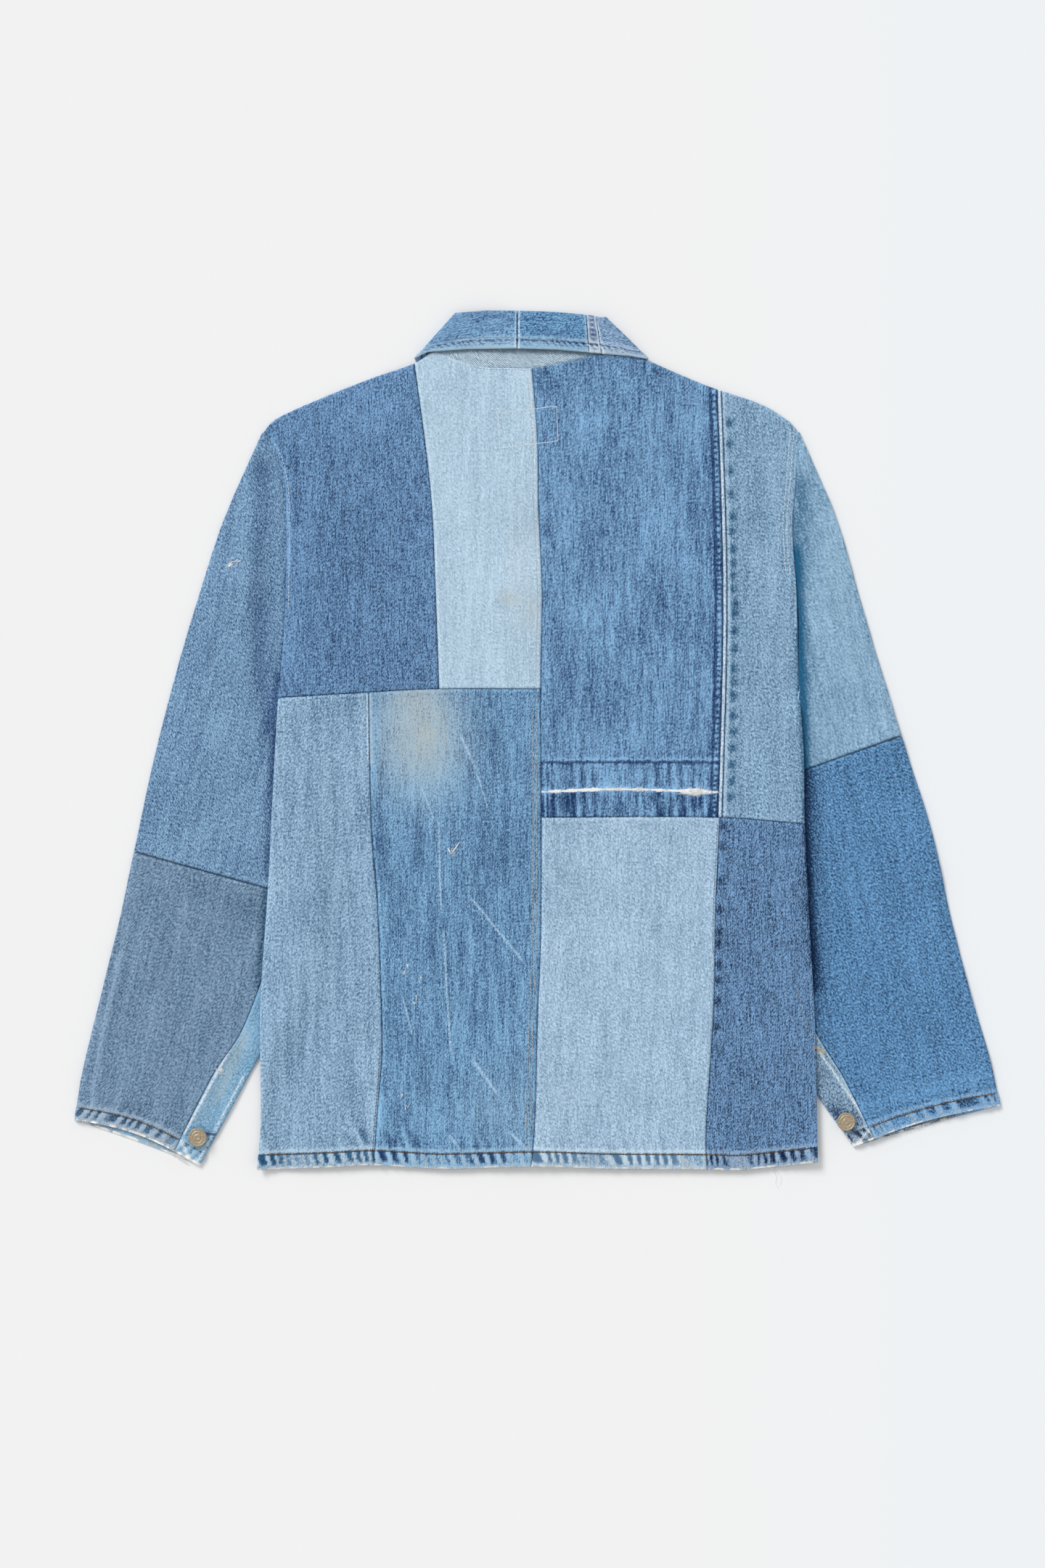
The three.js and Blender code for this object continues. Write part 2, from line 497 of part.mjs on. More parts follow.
// A shank button: foot, neck and a dished cap with a rim and a boss
function button() {
  const profile = [
    [0, 0], [BUTTON_FOOT, 0], [BUTTON_FOOT, 0.7], [BUTTON_NECK, 1.1], [BUTTON_NECK, 2],
    [BUTTON_RADIUS - 0.6, 2], [BUTTON_RADIUS, 2.6], [BUTTON_RADIUS, 3.2], [BUTTON_RADIUS - 0.7, 3.7],
    [BUTTON_RADIUS - 1.6, 3.3], [3.4, 3.4], [2.4, 3.9], [0, BUTTON_HEIGHT],
  ];
  const lathe = new THREE.LatheGeometry(profile.map(([r, z]) => new THREE.Vector2(r, z)), BUTTON_SIDES);
  return lathe.rotateX(Math.PI / 2);
}

const jacket = new THREE.Group();
function add(name, geometry, color, roughness = 0.9, metalness = 0) {
  const mesh = new THREE.Mesh(geometry, new THREE.MeshStandardMaterial({ color, roughness, metalness }));
  mesh.name = name;
  jacket.add(mesh);
  return mesh;
}

// Back body
const ARMHOLE_COLUMNS = [0, 0.06, 0.12, 0.18, 0.25, 0.32, 0.4, 0.55, 0.75, 1];
const SIDE_COLUMNS = [0, 0.1, 0.2, 0.32, 0.45, 0.6, 0.8, 1];
const EDGE_COLUMNS = SIDE_COLUMNS.map((u) => 1 - u).reverse();
const PLAIN_COLUMNS = gathered(7);
const upperSlate = upperPanel(sideLeft, slateToPale, crossLeft, ARMHOLE_COLUMNS, UPPER_LEFT_ROWS);
const upperPale = upperPanel(slateToPale, centreSeam, crossLeft, PLAIN_COLUMNS, UPPER_LEFT_ROWS);
const upperMid = upperPanel(centreSeam, fellEdge, crossRight, FELL_COLUMNS, MIDDLE_ROWS, fellRaise);
const seamStrip = upperPanel(fellEdge, stripEdge, crossRight, even(1), MIDDLE_ROWS, () => FELL_RAISE);
const upperRight = upperPanel(stripEdge, sideRight, crossRight, EDGE_COLUMNS, UPPER_RIGHT_ROWS);
const lowerLight = lowerPanel(sideLeft, lightToStained, crossLeft, SIDE_COLUMNS, LOWER_LEFT_ROWS);
const lowerStained = lowerPanel(lightToStained, centreSeam, crossLeft, PLAIN_COLUMNS, LOWER_LEFT_ROWS);
const lowerPale = lowerPanel(centreSeam, paleToSlate, crossRight, PLAIN_COLUMNS, LOWER_RIGHT_ROWS);
const lowerSlate = lowerPanel(paleToSlate, sideRight, crossRight, EDGE_COLUMNS, LOWER_RIGHT_ROWS);
add("back_upper_left", upperSlate, 0x6283a8);
add("back_upper_pale", upperPale, 0xb1cadc);
add("back_upper_mid", upperMid, 0x688eb2);
add("back_seam_strip", seamStrip, 0x9db9d0);
add("back_upper_right", upperRight, 0x84a3be);
add("back_lower_left", lowerLight, 0x84a2bd);
add("back_lower_stained", lowerStained, 0x6c92b4);
add("back_lower_pale", lowerPale, 0x9fbbd2);
add("back_lower_slate", lowerSlate, 0x607fa3);

// Fronts
const lapEdgeLeft = () => LAP_LEFT;
const lapEdgeRight = () => LAP_RIGHT;
const leftFront = front({
  left: sideLeft,
  right: lapEdgeRight,
  split: crossLeft,
  columns: FRONT_COLUMNS,
  lowerRows: LOWER_LEFT_ROWS,
  upperRows: UPPER_LEFT_ROWS,
  height: leftFrontHeight,
});
const rightFront = front({
  left: lapEdgeLeft,
  right: sideRight,
  split: crossRight,
  columns: FRONT_COLUMNS_RIGHT,
  lowerRows: LOWER_RIGHT_ROWS,
  upperRows: UPPER_RIGHT_ROWS,
  height: rightFrontHeight,
});
add("front_left", leftFront, 0x7694b4);
add("front_right", rightFront, 0x7190b0);

// Sleeves
add("sleeve_left_upper", leftSleeve.build(leftSleeve.topSection, above(LEFT_PATCH)), 0x7394b3);
add("sleeve_left_lower", leftSleeve.build(leftSleeve.topSection, below(LEFT_PATCH)), 0x6f89a3);
add("sleeve_left_under", leftSleeve.build(leftSleeve.underSection, STATIONS), 0x91b2c8);
add("sleeve_right_upper", rightSleeve.build(rightSleeve.topSection, above(RIGHT_PATCH)), 0x8cadc6);
add("sleeve_right_lower", rightSleeve.build(rightSleeve.topSection, below(RIGHT_PATCH)), 0x5782ab);
add("sleeve_right_under", rightSleeve.build(rightSleeve.underSection, STATIONS), 0x7d99b2);

// Cuff buttons on the strips
const LEFT_SEAT = 0.84; // fraction across the sleeve of the seat's inner edge
const RIGHT_SEAT = 0.91;
const LEFT_BUTTON = [-304, -353.5, leftSleeve.buttonSeat(LEFT_SEAT, HEM_RAISE)];
const RIGHT_BUTTON = [276.5, -339.5, rightSleeve.buttonSeat(RIGHT_SEAT, 0)];
add("cuff_button_left", button(), 0xb3a895, 0.4, 0.8).position.set(...LEFT_BUTTON);
add("cuff_button_right", button(), 0xb3a895, 0.4, 0.8).position.set(...RIGHT_BUTTON);

// Collar
const seamBand = collarPiece(fallSection, BAND_LEFT + JOIN_GAP, BAND_RIGHT - JOIN_GAP, BAND_RAISE);
add("collar_left", collarPiece(fallSection, 0, JOIN_LEFT - JOIN_GAP), 0x7197bb);
add("collar_centre", collarPiece(fallSection, JOIN_LEFT + JOIN_GAP, BAND_LEFT - JOIN_GAP), 0x628ab0);
add("collar_seam_band", seamBand, 0x7f9cba);
add("collar_right", collarPiece(fallSection, BAND_RIGHT + JOIN_GAP, COLLAR_END), 0x85a2c0);
add("collar_stand", collarPiece(standSection, 0, COLLAR_END), 0x9fb3c2);

export default jacket;
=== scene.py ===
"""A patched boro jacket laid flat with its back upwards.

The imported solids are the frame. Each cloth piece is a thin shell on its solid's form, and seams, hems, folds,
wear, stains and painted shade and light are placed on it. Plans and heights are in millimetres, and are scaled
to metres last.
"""

from __future__ import annotations

import logging
import math
from dataclasses import dataclass, field
from enum import Enum
from typing import Callable, Optional, Sequence, Union

import bpy
import numpy as np
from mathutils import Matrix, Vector
from mathutils.bvhtree import BVHTree

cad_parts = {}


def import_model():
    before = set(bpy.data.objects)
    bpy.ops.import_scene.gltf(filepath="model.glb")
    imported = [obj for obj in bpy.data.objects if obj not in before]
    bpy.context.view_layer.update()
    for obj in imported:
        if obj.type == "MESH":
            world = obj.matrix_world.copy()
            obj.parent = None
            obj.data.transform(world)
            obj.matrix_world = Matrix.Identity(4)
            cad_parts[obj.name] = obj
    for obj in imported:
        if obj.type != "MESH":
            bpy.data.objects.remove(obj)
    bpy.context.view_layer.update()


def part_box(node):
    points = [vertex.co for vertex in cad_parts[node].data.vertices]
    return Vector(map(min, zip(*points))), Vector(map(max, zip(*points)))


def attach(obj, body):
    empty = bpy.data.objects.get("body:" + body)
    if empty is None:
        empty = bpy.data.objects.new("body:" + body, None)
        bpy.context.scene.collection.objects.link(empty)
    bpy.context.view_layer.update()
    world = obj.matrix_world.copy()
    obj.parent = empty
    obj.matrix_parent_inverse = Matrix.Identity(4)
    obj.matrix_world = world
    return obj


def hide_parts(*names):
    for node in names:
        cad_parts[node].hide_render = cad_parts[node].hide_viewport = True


LOG = logging.getLogger("jacket")
Array = np.ndarray
Curve = Callable[[Array], Array]
Point = tuple[float, float]
Colour = tuple[int, int, int]

MM = 0.001
BODY = "root"
CLOTH = 1.2
HALF = CLOTH / 2
SEAM = 0.3
EDGE_GAP = 0.5
CURVED_SEAM = 0.9
TUBE_EDGE = CLOTH + EDGE_GAP
LAYER = CLOTH + SEAM
SLEEVE_LOFT = 1.6
BACK_LOFT = 2.2
COLLAR_FOLD = 2.4
TUCK_RISE = CLOTH + TUBE_EDGE + SLEEVE_LOFT + SEAM
HEM_DEPTH = 14.0
HEM_RAISE = 0.8
HEM_Y = -380.0
NECK_Y = 335.0
SHOULDER_Y = 277.0
ARMPIT_Y = 44.0
TIP_LEFT = -246.0
TIP_RIGHT = 234.0
CENTRE_X = -3.0
NECK_LEFT = -93.0
NECK_RIGHT = 95.0
HALF_HEM = 250.0
END_SPAN = 1.5
SMOOTH = math.radians(55)


def ease(t: Array) -> Array:
    """A smooth step from 0 to 1."""
    t = np.clip(t, 0.0, 1.0)
    return t * t * (3 - 2 * t)


def hump(off: Array, width: float) -> Array:
    """A rounded ridge of height 1."""
    return np.exp(-np.square(off / width))


class Line:
    """A smooth line through (key, value) points in rising order of key."""

    OVERRUN = 0.2

    def __init__(self, *points: Point) -> None:
        """Keeps the points and their slopes.

        Args:
            points: The (key, value) pairs.
        """
        self.key, self.value = np.array(points, float).T
        last = len(points) - 1
        before = np.maximum(np.arange(last + 1) - 1, 0)
        after = np.minimum(np.arange(last + 1) + 1, last)
        self.slope = (self.value[after] - self.value[before]) / (self.key[after] - self.key[before])

    def __call__(self, at: Array) -> Array:
        """The value at each key.

        Args:
            at: One key or an array of keys.

        Returns:
            The values, in the same shape.
        """
        at = np.asarray(at, float)
        k = np.clip(np.searchsorted(self.key, at, side="right") - 1, 0, len(self.key) - 2)
        span = self.key[k + 1] - self.key[k]
        rise = self.value[k + 1] - self.value[k]
        t = np.clip((at - self.key[k]) / span, -self.OVERRUN, 1 + self.OVERRUN)
        pull = (self.slope[k] * span - rise) * (1 - t) + (rise - self.slope[k + 1] * span) * t
        return self.value[k] + rise * t + t * (1 - t) * pull


class Ripple:
    """Soft seeded unevenness with a spread of about 1."""

    WAVES = 9
    SPREAD = (0.6, 1.7)

    def __init__(self, period: float, seed: int) -> None:
        """Draws the plane waves that are added.

        Args:
            period: Typical distance between two crests.
            seed: Which draw.
        """
        draw = np.random.default_rng(seed)
        angle = draw.uniform(0, np.pi, self.WAVES)
        pitch = 2 * np.pi / (period * draw.uniform(*self.SPREAD, self.WAVES))
        self.across, self.along = pitch * np.cos(angle), pitch * np.sin(angle)
        self.phase = draw.uniform(0, 2 * np.pi, self.WAVES)

    def __call__(self, x: Array, y: Union[Array, float] = 0.0) -> Array:
        """The unevenness at each place."""
        waves = zip(self.across, self.along, self.phase)
        total = sum(np.sin(a * np.asarray(x) + b * np.asarray(y) + p) for a, b, p in waves)
        return total / math.sqrt(self.WAVES / 2)


def march(length: float, plain: float, close: Sequence[tuple[float, float, float]]) -> Array:
    """Places along a length, close together in some spans.

    Args:
        length: The whole length.
        plain: The widest step.
        close: Spans as (from, to, step).

    Returns:
        Fractions of the length, from 0 to 1.
    """
    places = [0.0]
    while places[-1] < length:
        here = places[-1]
        steps = [fine + 0.3 * max(start - here, here - end, 0.0) for start, end, fine in close]
        places.append(here + min([plain, *steps]))
    return np.array(places) / places[-1]


def close_ends(length: float, step: float = 0.7) -> tuple[tuple[float, float, float], ...]:
    """Spans of close places at both ends of a length."""
    return (0.0, END_SPAN, step), (length - END_SPAN, length, step)


def travelled(places: Array, axis: int = 0) -> Array:
    """Distance travelled along one axis of a run or grid of places, from 0."""
    steps = np.linalg.norm(np.diff(places, axis=axis), axis=-1)
    return np.concatenate([np.zeros_like(steps.take([0], axis)), np.cumsum(steps, axis)], axis)


def unevenness(x: Array, y: Array, ripples: Sequence[tuple[float, float, int]]) -> Array:
    """Soft unevenness of a sheet: the sum of ripples given as (height, period, seed)."""
    return sum(height * Ripple(period, seed)(x, y) for height, period, seed in ripples)


def places_of(mesh: bpy.types.Mesh) -> Array:
    """A mesh's vertices, one to a row, in metres."""
    places = np.empty(len(mesh.vertices) * 3, np.float32)
    mesh.vertices.foreach_get("co", places)
    return places.reshape(-1, 3)


# Outline, seams and heights


class Outline:
    """The jacket's edges and seams in plan: sides as x by y, shoulders, neck and hem as y by x."""

    side_left = Line(
        (HEM_Y - 3, -HALF_HEM), (-341, -246.7), (-251, -247.3), (-215, -246), (-130, -240), (-30, -235),
        (31, -231.7), (51, -230.4), (101, -225.9), (152, -223.9), (202, -223.9), (232, -225.2), (262, -233.5),
        (SHOULDER_Y, TIP_LEFT),
    )
    side_right = Line(
        (HEM_Y + 3, HALF_HEM), (-300, 248.6), (-250, 247.3), (-180, 243.4), (-130, 240.8), (-74, 238.2),
        (-17, 237.5), (51, 233.7), (137, 231), (192, 227.5), (227, 230), (SHOULDER_Y, TIP_RIGHT),
    )
    top = Line(
        (TIP_LEFT, SHOULDER_Y), (-237.6, 287), (-224, 295), (-188, 310.5), (-149, 326), (-109, 339.6),
        (NECK_LEFT, 349.5), (-75, 343.5), (-52, 336.4), (-26, NECK_Y), (-4, NECK_Y), (32, 342), (52, 347),
        (78, 348.5), (NECK_RIGHT, 343.5), (117, 334), (156, 318), (201, 302.6), (226.5, 287),
        (TIP_RIGHT, SHOULDER_Y + 1),
    )
    hem = Line(
        (-HALF_HEM, HEM_Y - 3), (-190, HEM_Y - 1), (-149, HEM_Y + 1), (-86, HEM_Y - 2), (-3, HEM_Y),
        (65, HEM_Y - 2), (148, HEM_Y - 2.5), (184, HEM_Y - 3), (HALF_HEM, HEM_Y + 4),
    )
    front_neck = Line(
        (NECK_LEFT, 349.5), (-84, 325), (-66, 303), (-30, 285), (CENTRE_X, 280), (24, 285), (60, 303),
        (80, 325), (NECK_RIGHT, 343.5),
    )
    slate_to_pale = Line((48, -88), (137, -91.3), (212, -94.6), (272, -101), (338, -110))
    centre = Line(
        (-379, -5.5), (-343, -2.3), (-245, 0.3), (-180, 2.9), (-67, 3.6), (48, 2.9), (137, 4.2), (210, 1),
        (272, 0), (336, -5),
    )
    light_to_stained = Line(
        (-381, -146.6), (-349, -144.6), (-316, -142), (-278, -139.4), (-230, -140), (-143, -143.3),
        (-80, -148.5), (44, -151),
    )
    pale_to_slate = Line(
        (-381, 151.8), (-351, 151), (-276, 155.7), (-225, 158.3), (-150, 159.6), (-67, 163.5),
    )
    fell = Line((-67, 162), (74, 166), (171, 166), (314, 161.5))
    cross_left = Line((-231, 40), (-156, 44.5), (-88, 47.8), (3, 47.8))
    cross_right = Line((3, -67.3), (163, -67.3), (239, -73))
    STRIP = 3.0
    EDGE_OVER = 1.2

    @classmethod
    def strip(cls, y: Array) -> Array:
        """The far edge of the narrow strip beyond the felled seam."""
        return cls.fell(y) + cls.STRIP

    @classmethod
    def body_left(cls, y: Array) -> Array:
        """The back's left edge, a little over the sleeve."""
        return cls.side_left(y) - cls.EDGE_OVER

    @classmethod
    def body_right(cls, y: Array) -> Array:
        """The back's right edge, a little over the sleeve."""
        return cls.side_right(y) + cls.EDGE_OVER

    @classmethod
    def front_top(cls, x: Array) -> Array:
        """Shoulders and neck of the fronts."""
        return np.where((x > NECK_LEFT) & (x < NECK_RIGHT), cls.front_neck(x), cls.top(x))


@dataclass(frozen=True)
class Mark:
    """Something on the cloth along a run of points: a fold, a worn line, a stain, a dark spot or a painted
    shadow.

    Attributes:
        points: The run, in plan. One point makes a spot.
        width: Half-width across the run, or a spot's half-width.
        length: A spot's half-length along Y, or 0 for a round one.
        rise: How far it lifts the cloth.
        wear_and_shade: Paler if above 0, deeper if below. Worn places and painted light and shade both go here.
        soil: Stained.
        bare: Worn through to white weft.
    """

    points: tuple[Point, ...]
    width: float
    length: float = 0.0
    rise: float = 0.0
    wear_and_shade: float = 0.0
    soil: float = 0.0
    bare: float = 0.0

    def strength(self, x: Array, y: Array) -> Array:
        """How strongly the mark shows at each place, from 0 to 1."""
        if len(self.points) == 1:
            (px, py), tall = self.points[0], self.length or self.width
            return np.exp(-np.square((x - px) / self.width) - np.square((y - py) / tall))
        best = np.full(np.shape(x), np.inf)
        for (ax, ay), (bx, by) in zip(self.points, self.points[1:]):
            run = (bx - ax) ** 2 + (by - ay) ** 2
            t = np.clip(((x - ax) * (bx - ax) + (y - ay) * (by - ay)) / run, 0, 1)
            best = np.minimum(best, np.square(x - ax - t * (bx - ax)) + np.square(y - ay - t * (by - ay)))
        return np.exp(-best / self.width**2)


def painted_shadow(curve: Curve, start: float, stop: float, off: float, width: float, wear_and_shade: float) -> Mark:
    """A painted shadow: a dark line of a half-width beside an edge that is given as x by y, off to its right.
    """
    y = np.linspace(start, stop, 14)
    return Mark(tuple(zip(curve(y) + off, y)), width, wear_and_shade=wear_and_shade)


BACK_FOLDS = (
    Mark(((-212, 262), (-205, 110)), 13, rise=2.2),
    Mark(((-188, 268), (-182, 150)), 13, rise=1.6),
    Mark(((214, 180), (205, 20)), 14, rise=1.6),
    Mark(((-232, -60), (-232, -250)), 12, rise=1.4),
    Mark(((226, -80), (232, -270)), 12, rise=1.8),
)
SLEEVE_FOLDS = (
    Mark(((-247, 225), (-262, 70)), 12, rise=2.4),
    Mark(((-275, 170), (-300, 40)), 16, rise=1.6),
    Mark(((-388, -180), (-404, -300)), 12, rise=1.8),
    Mark(((250, 210), (268, 60)), 12, rise=2.0),
    Mark(((300, 40), (345, -150)), 20, rise=1.6),
)


class Lie:
    """How high each layer lies above the floor: undersides, from the fronts up."""

    TUCK_CLEAR = 2.0
    TUCK_REACH = 42.0
    ARMPIT_RAMP = 20.0
    LEAF_REACH = (120.0, 135.0)
    LEAF_Y = 345.0
    LEAF_FLAT = 0.92
    LEAF_SLOPE = 0.38
    LAP_REACH = 40.0
    LAP = 15.0
    LOFT_REACH = 30.0
    fold_left = Line(
        (-304.5, -261.5), (-261.5, -239.5), (-200, -216), (-140, -208.5), (-102.5, -208.5), (-57, -213.5),
        (2, -229), (30, -234.6),
    )
    fold_right = Line(
        (-310.5, 247.5), (-252, 220.5), (-174, 210.5), (-96, 211.5), (-31.5, 220.5), (-19, 224.5), (2, 233),
        (30, 238),
    )

    @classmethod
    def fronts(cls, x: Array, y: Array) -> Array:
        """The left front's underside: over the tucked sleeves and the collar's leaves."""
        below = ease((ARMPIT_Y - y) / cls.ARMPIT_RAMP)
        slope = cls.TUCK_REACH - cls.TUCK_CLEAR
        left = ease((cls.fold_left(y) + cls.TUCK_REACH - x) / slope)
        right = ease((x - cls.fold_right(y) + cls.TUCK_REACH) / slope)
        reach = np.hypot((x - CENTRE_X) / cls.LEAF_REACH[0], (y - cls.LEAF_Y) / cls.LEAF_REACH[1])
        leaf = COLLAR_FOLD * ease((cls.LEAF_FLAT + cls.LEAF_SLOPE - reach) / cls.LEAF_SLOPE)
        return TUCK_RISE * below * (left + right) + leaf

    @classmethod
    def lap_right(cls, x: Array) -> Array:
        """How much the right front rises over the left one."""
        return LAYER * ease((CENTRE_X + cls.LAP + SEAM + cls.LAP_REACH - x) / cls.LAP_REACH)

    @classmethod
    def lap_left(cls, x: Array) -> Array:
        """The same from the other side."""
        return LAYER * ease((x - CENTRE_X + cls.LAP + SEAM + cls.LAP_REACH) / cls.LAP_REACH)

    @classmethod
    def right_front(cls, x: Array, y: Array) -> Array:
        """The right front's underside."""
        return cls.fronts(x, y) + cls.lap_right(x)

    @classmethod
    def back(cls, x: Array, y: Array) -> Array:
        """The back's underside, without its folds."""
        sides = np.minimum(x - Outline.side_left(y), Outline.side_right(y) - x)
        inside = np.maximum(0.0, np.minimum(sides, Outline.top(x) - y))
        loft = BACK_LOFT * (1 - hump(inside, cls.LOFT_REACH))
        lap = np.minimum(cls.lap_right(x), cls.lap_left(x))
        return cls.fronts(x, y) + lap + TUBE_EDGE + loft


# Sheets of cloth


@dataclass
class Paint:
    """What is laid down at each place of a sheet besides its form.

    Attributes:
        cloth: Flat place on the cut, across and along the warp.
        rise: Lift of the outer face.
        wear_and_shade: Paler above 0, deeper below. Worn places and painted light and shade together.
        soil: Stained, from 0 to 1.
        bare: Worn to white, from 0 to 1.
    """

    cloth: Array
    rise: Array
    wear_and_shade: Array
    soil: Array
    bare: Array

    @classmethod
    def blank(cls, x: Array, y: Array) -> "Paint":
        """A clean sheet whose flat place is its plan."""
        flat = np.stack([x, y, np.zeros_like(x)], axis=-1)
        return cls(flat, *(np.zeros_like(x) for _ in range(4)))

    def add(self, x: Array, y: Array, marks: Sequence[Mark]) -> None:
        """Lays marks on the sheet."""
        for mark in marks:
            there = mark.strength(x, y)
            self.rise += mark.rise * there
            self.wear_and_shade += mark.wear_and_shade * there
            self.soil += mark.soil * there
            self.bare += mark.bare * there


@dataclass(frozen=True)
class Hem:
    """A turned and stitched edge that has twisted in the wash.

    Attributes:
        depth: From the fold to the stitching.
        period: Typical distance between two puckers.
        slant: How far a pucker leans, along the hem for each millimetre across.
        seed: Which draw of the puckers.
        force: How strong their wear is.
        lift: How far the turned layers lift the face.
        fray: How far the edge is worn to white.
        tone: How pale the band is on the whole.
    """

    depth: float = HEM_DEPTH
    period: float = 9.5
    slant: float = 0.3
    seed: int = 1
    force: float = 0.78
    lift: float = HEM_RAISE
    fray: float = 0.75
    tone: float = -0.06

    def lay(self, paint: Paint, run: Array, off: Array) -> None:
        """Shapes and wears the sheet along the hem, and paints shade into the groove of its stitching.

        Args:
            paint: The sheet's paint.
            run: Distance along the hem.
            off: Distance in from its fold.
        """
        drift = Ripple(47, self.seed)(run)
        lean = run + self.slant * off
        phase = lean / self.period + 0.45 * drift
        pucker = np.sin(2 * np.pi * phase) + 0.35 * np.sin(2 * np.pi * 1.9 * phase + 1.3)
        some = np.clip(0.75 + 0.45 * Ripple(60, self.seed + 7)(run), 0.2, 1.2)
        band = ease((self.depth - off) / 1.6 + 0.5)
        above = np.where(off > self.depth, np.exp(-(off - self.depth) / 6.0), 0.0)
        stitch = hump(off - self.depth + 0.6, 0.9)
        paint.rise += self.lift * band + 0.5 * pucker * some * (band + 0.4 * above) - 0.55 * stitch
        ridge = np.tanh(1.9 * pucker)
        inner = band * ease((off - 2.6) / 3.6)
        streak = 0.9 * np.maximum(ridge, 0) + 1.5 * np.minimum(ridge, 0)
        paint.wear_and_shade += self.force * streak * some * inner + self.tone * band
        paint.soil += 0.30 * band * ease(ridge)
        halo = hump(off - self.depth - 2.0, 1.8)
        # The pale halo above the stitching is wear; the stitching's line is painted darker as the shade of its
        # groove.
        paint.wear_and_shade += 0.50 * halo - 0.8 * stitch
        paint.soil += 0.16 * halo
        beyond = ease((off - self.depth - 1.0) / 2.0)
        paint.wear_and_shade += 0.7 * self.force * np.minimum(ridge, 0.25) * some * above * beyond
        paint.wear_and_shade += 0.45 * hump(off, 2.8)
        paint.soil += 0.30 * hump(off, 3.2)
        worn = np.clip(0.6 + 0.6 * Ripple(9, self.seed + 3)(run), 0, 1)
        paint.bare += self.fray * hump(off - 0.8, 1.3) * worn


def roll_under(off: Array, radius: float, drop: float) -> Array:
    """How far a free edge that is rounded from a radius in falls away."""
    t = 1 - np.clip(off / radius, 0, 1)
    return drop * (1 - np.sqrt(np.clip(1 - t * t, 0, 1)))


def seam_dip(paint: Paint, off: Array, pale: float = 0.16) -> None:
    """Draws cloth down into a seam and wears the edge beside it."""
    paint.rise += 0.35 * hump(off - 3.2, 2.4) - 0.9 * hump(off, 1.0)
    paint.wear_and_shade += pale * hump(off - 1.6, 1.2) - 0.45 * hump(off, 0.7)


def lay_sheet(name: str, outer: Array, out: Array, paint: Paint) -> bpy.types.Object:
    """Makes a sheet of cloth from its outer face.

    Args:
        name: The piece's name.
        outer: Places on the outer face, in rows, in millimetres.
        out: The outward direction at each place.
        paint: What is laid on it; its rise is added along out.

    Returns:
        The sheet, with its thickness.
    """
    points = outer + out * paint.rise[..., None]
    points[..., 2] = np.maximum(points[..., 2], CLOTH * np.clip(out[..., 2], 0, 1))
    across = np.diff(points, axis=1)[:-1]
    along = np.diff(points, axis=0)[:, :-1]
    facing = np.einsum("ijk,ijk->ij", np.cross(across, along), out[:-1, :-1])
    turned = facing.sum() < 0
    rows, cols = points.shape[:2]
    bpy.ops.object.select_all(action="DESELECT")
    bpy.ops.mesh.primitive_grid_add(x_subdivisions=cols - 1, y_subdivisions=rows - 1, size=2, calc_uvs=False)
    sheet = bpy.context.active_object
    sheet.name = sheet.data.name = name
    mesh = sheet.data
    share = (places_of(mesh) + 1) / 2
    col = np.rint(share[:, 0] * (cols - 1)).astype(int)
    row = np.rint(share[:, 1] * (rows - 1)).astype(int)
    if turned:
        col = cols - 1 - col
    mesh.vertices.foreach_set("co", (points[row, col] * MM).astype(np.float32).ravel())
    layers = {"wear_and_shade": paint.wear_and_shade, "soil": paint.soil, "bare": paint.bare}
    for key, values in layers.items():
        layer = mesh.attributes.new(key, "FLOAT", "POINT")
        layer.data.foreach_set("value", values[row, col].astype(np.float32))
    flat = mesh.attributes.new("cloth", "FLOAT_VECTOR", "POINT")
    flat.data.foreach_set("vector", (paint.cloth[row, col] * MM).astype(np.float32).ravel())
    mesh.update()
    wall = sheet.modifiers.new("wall", "SOLIDIFY")
    wall.thickness = CLOTH * MM
    wall.offset = -1
    bpy.ops.object.modifier_apply(modifier=wall.name)
    places = places_of(sheet.data)
    places[:, 2] = np.maximum(places[:, 2], 0.0)
    sheet.data.vertices.foreach_set("co", places.ravel())
    sheet.data.update()
    bpy.ops.object.shade_smooth_by_angle(angle=SMOOTH)
    return sheet


def cut_of(outer: Array) -> tuple[float, float, float]:
    """The flat size of a sheet.

    Args:
        outer: Its outer face, in rows.

    Returns:
        Width, length and area of the cut, in metres.
    """
    across = np.linalg.norm(np.diff(outer, axis=1), axis=2)
    along = np.linalg.norm(np.diff(outer, axis=0), axis=2)
    width, length = across.sum(1).max() * MM, along.sum(0).max() * MM
    faces = np.cross(np.diff(outer, axis=1)[:-1], np.diff(outer, axis=0)[:, :-1])
    area = np.linalg.norm(faces, axis=2).sum() * MM * MM
    return width, length, min(area, width * length)


# A sheet at least this wide has its cut area raised to a least share of its width times its
# length. A narrower piece counts as part of the one that it is sewn to
NARROWEST = 0.01
# The least share of its width times its length that a slanted cut is stated with
LEAST_AREA = 0.31


class Held(Enum):
    """How a sheet is held."""

    LAID = "laid"
    FOLDED = "folded"


def put_on(
    node: str, finish: Denim, outer: Array, out: Array, paint: Paint,
) -> bpy.types.Object:
    """Makes the sheet that stands for a solid, finishes it and states its cut.

    Args:
        node: The solid.
        finish: Its cloth.
        outer: Its outer face, in rows.
        out: The outward direction at each place.
        paint: What is laid on it.

    Returns:
        The sheet.
    """
    sheet = lay_sheet("cloth_" + node, outer, out, paint)
    sheet.data.materials.append(finish.material("denim_" + node))
    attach(sheet, BODY)
    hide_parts(node)
    width, length, area = cut_of(outer)
    faces = len(sheet.data.polygons)
    LOG.info("%s: %d faces, cut %.0f x %.0f mm", sheet.name, faces, width / MM, length / MM)
    if width >= NARROWEST:
        area = max(area, LEAST_AREA * width * length)
    return sheet


# Shading


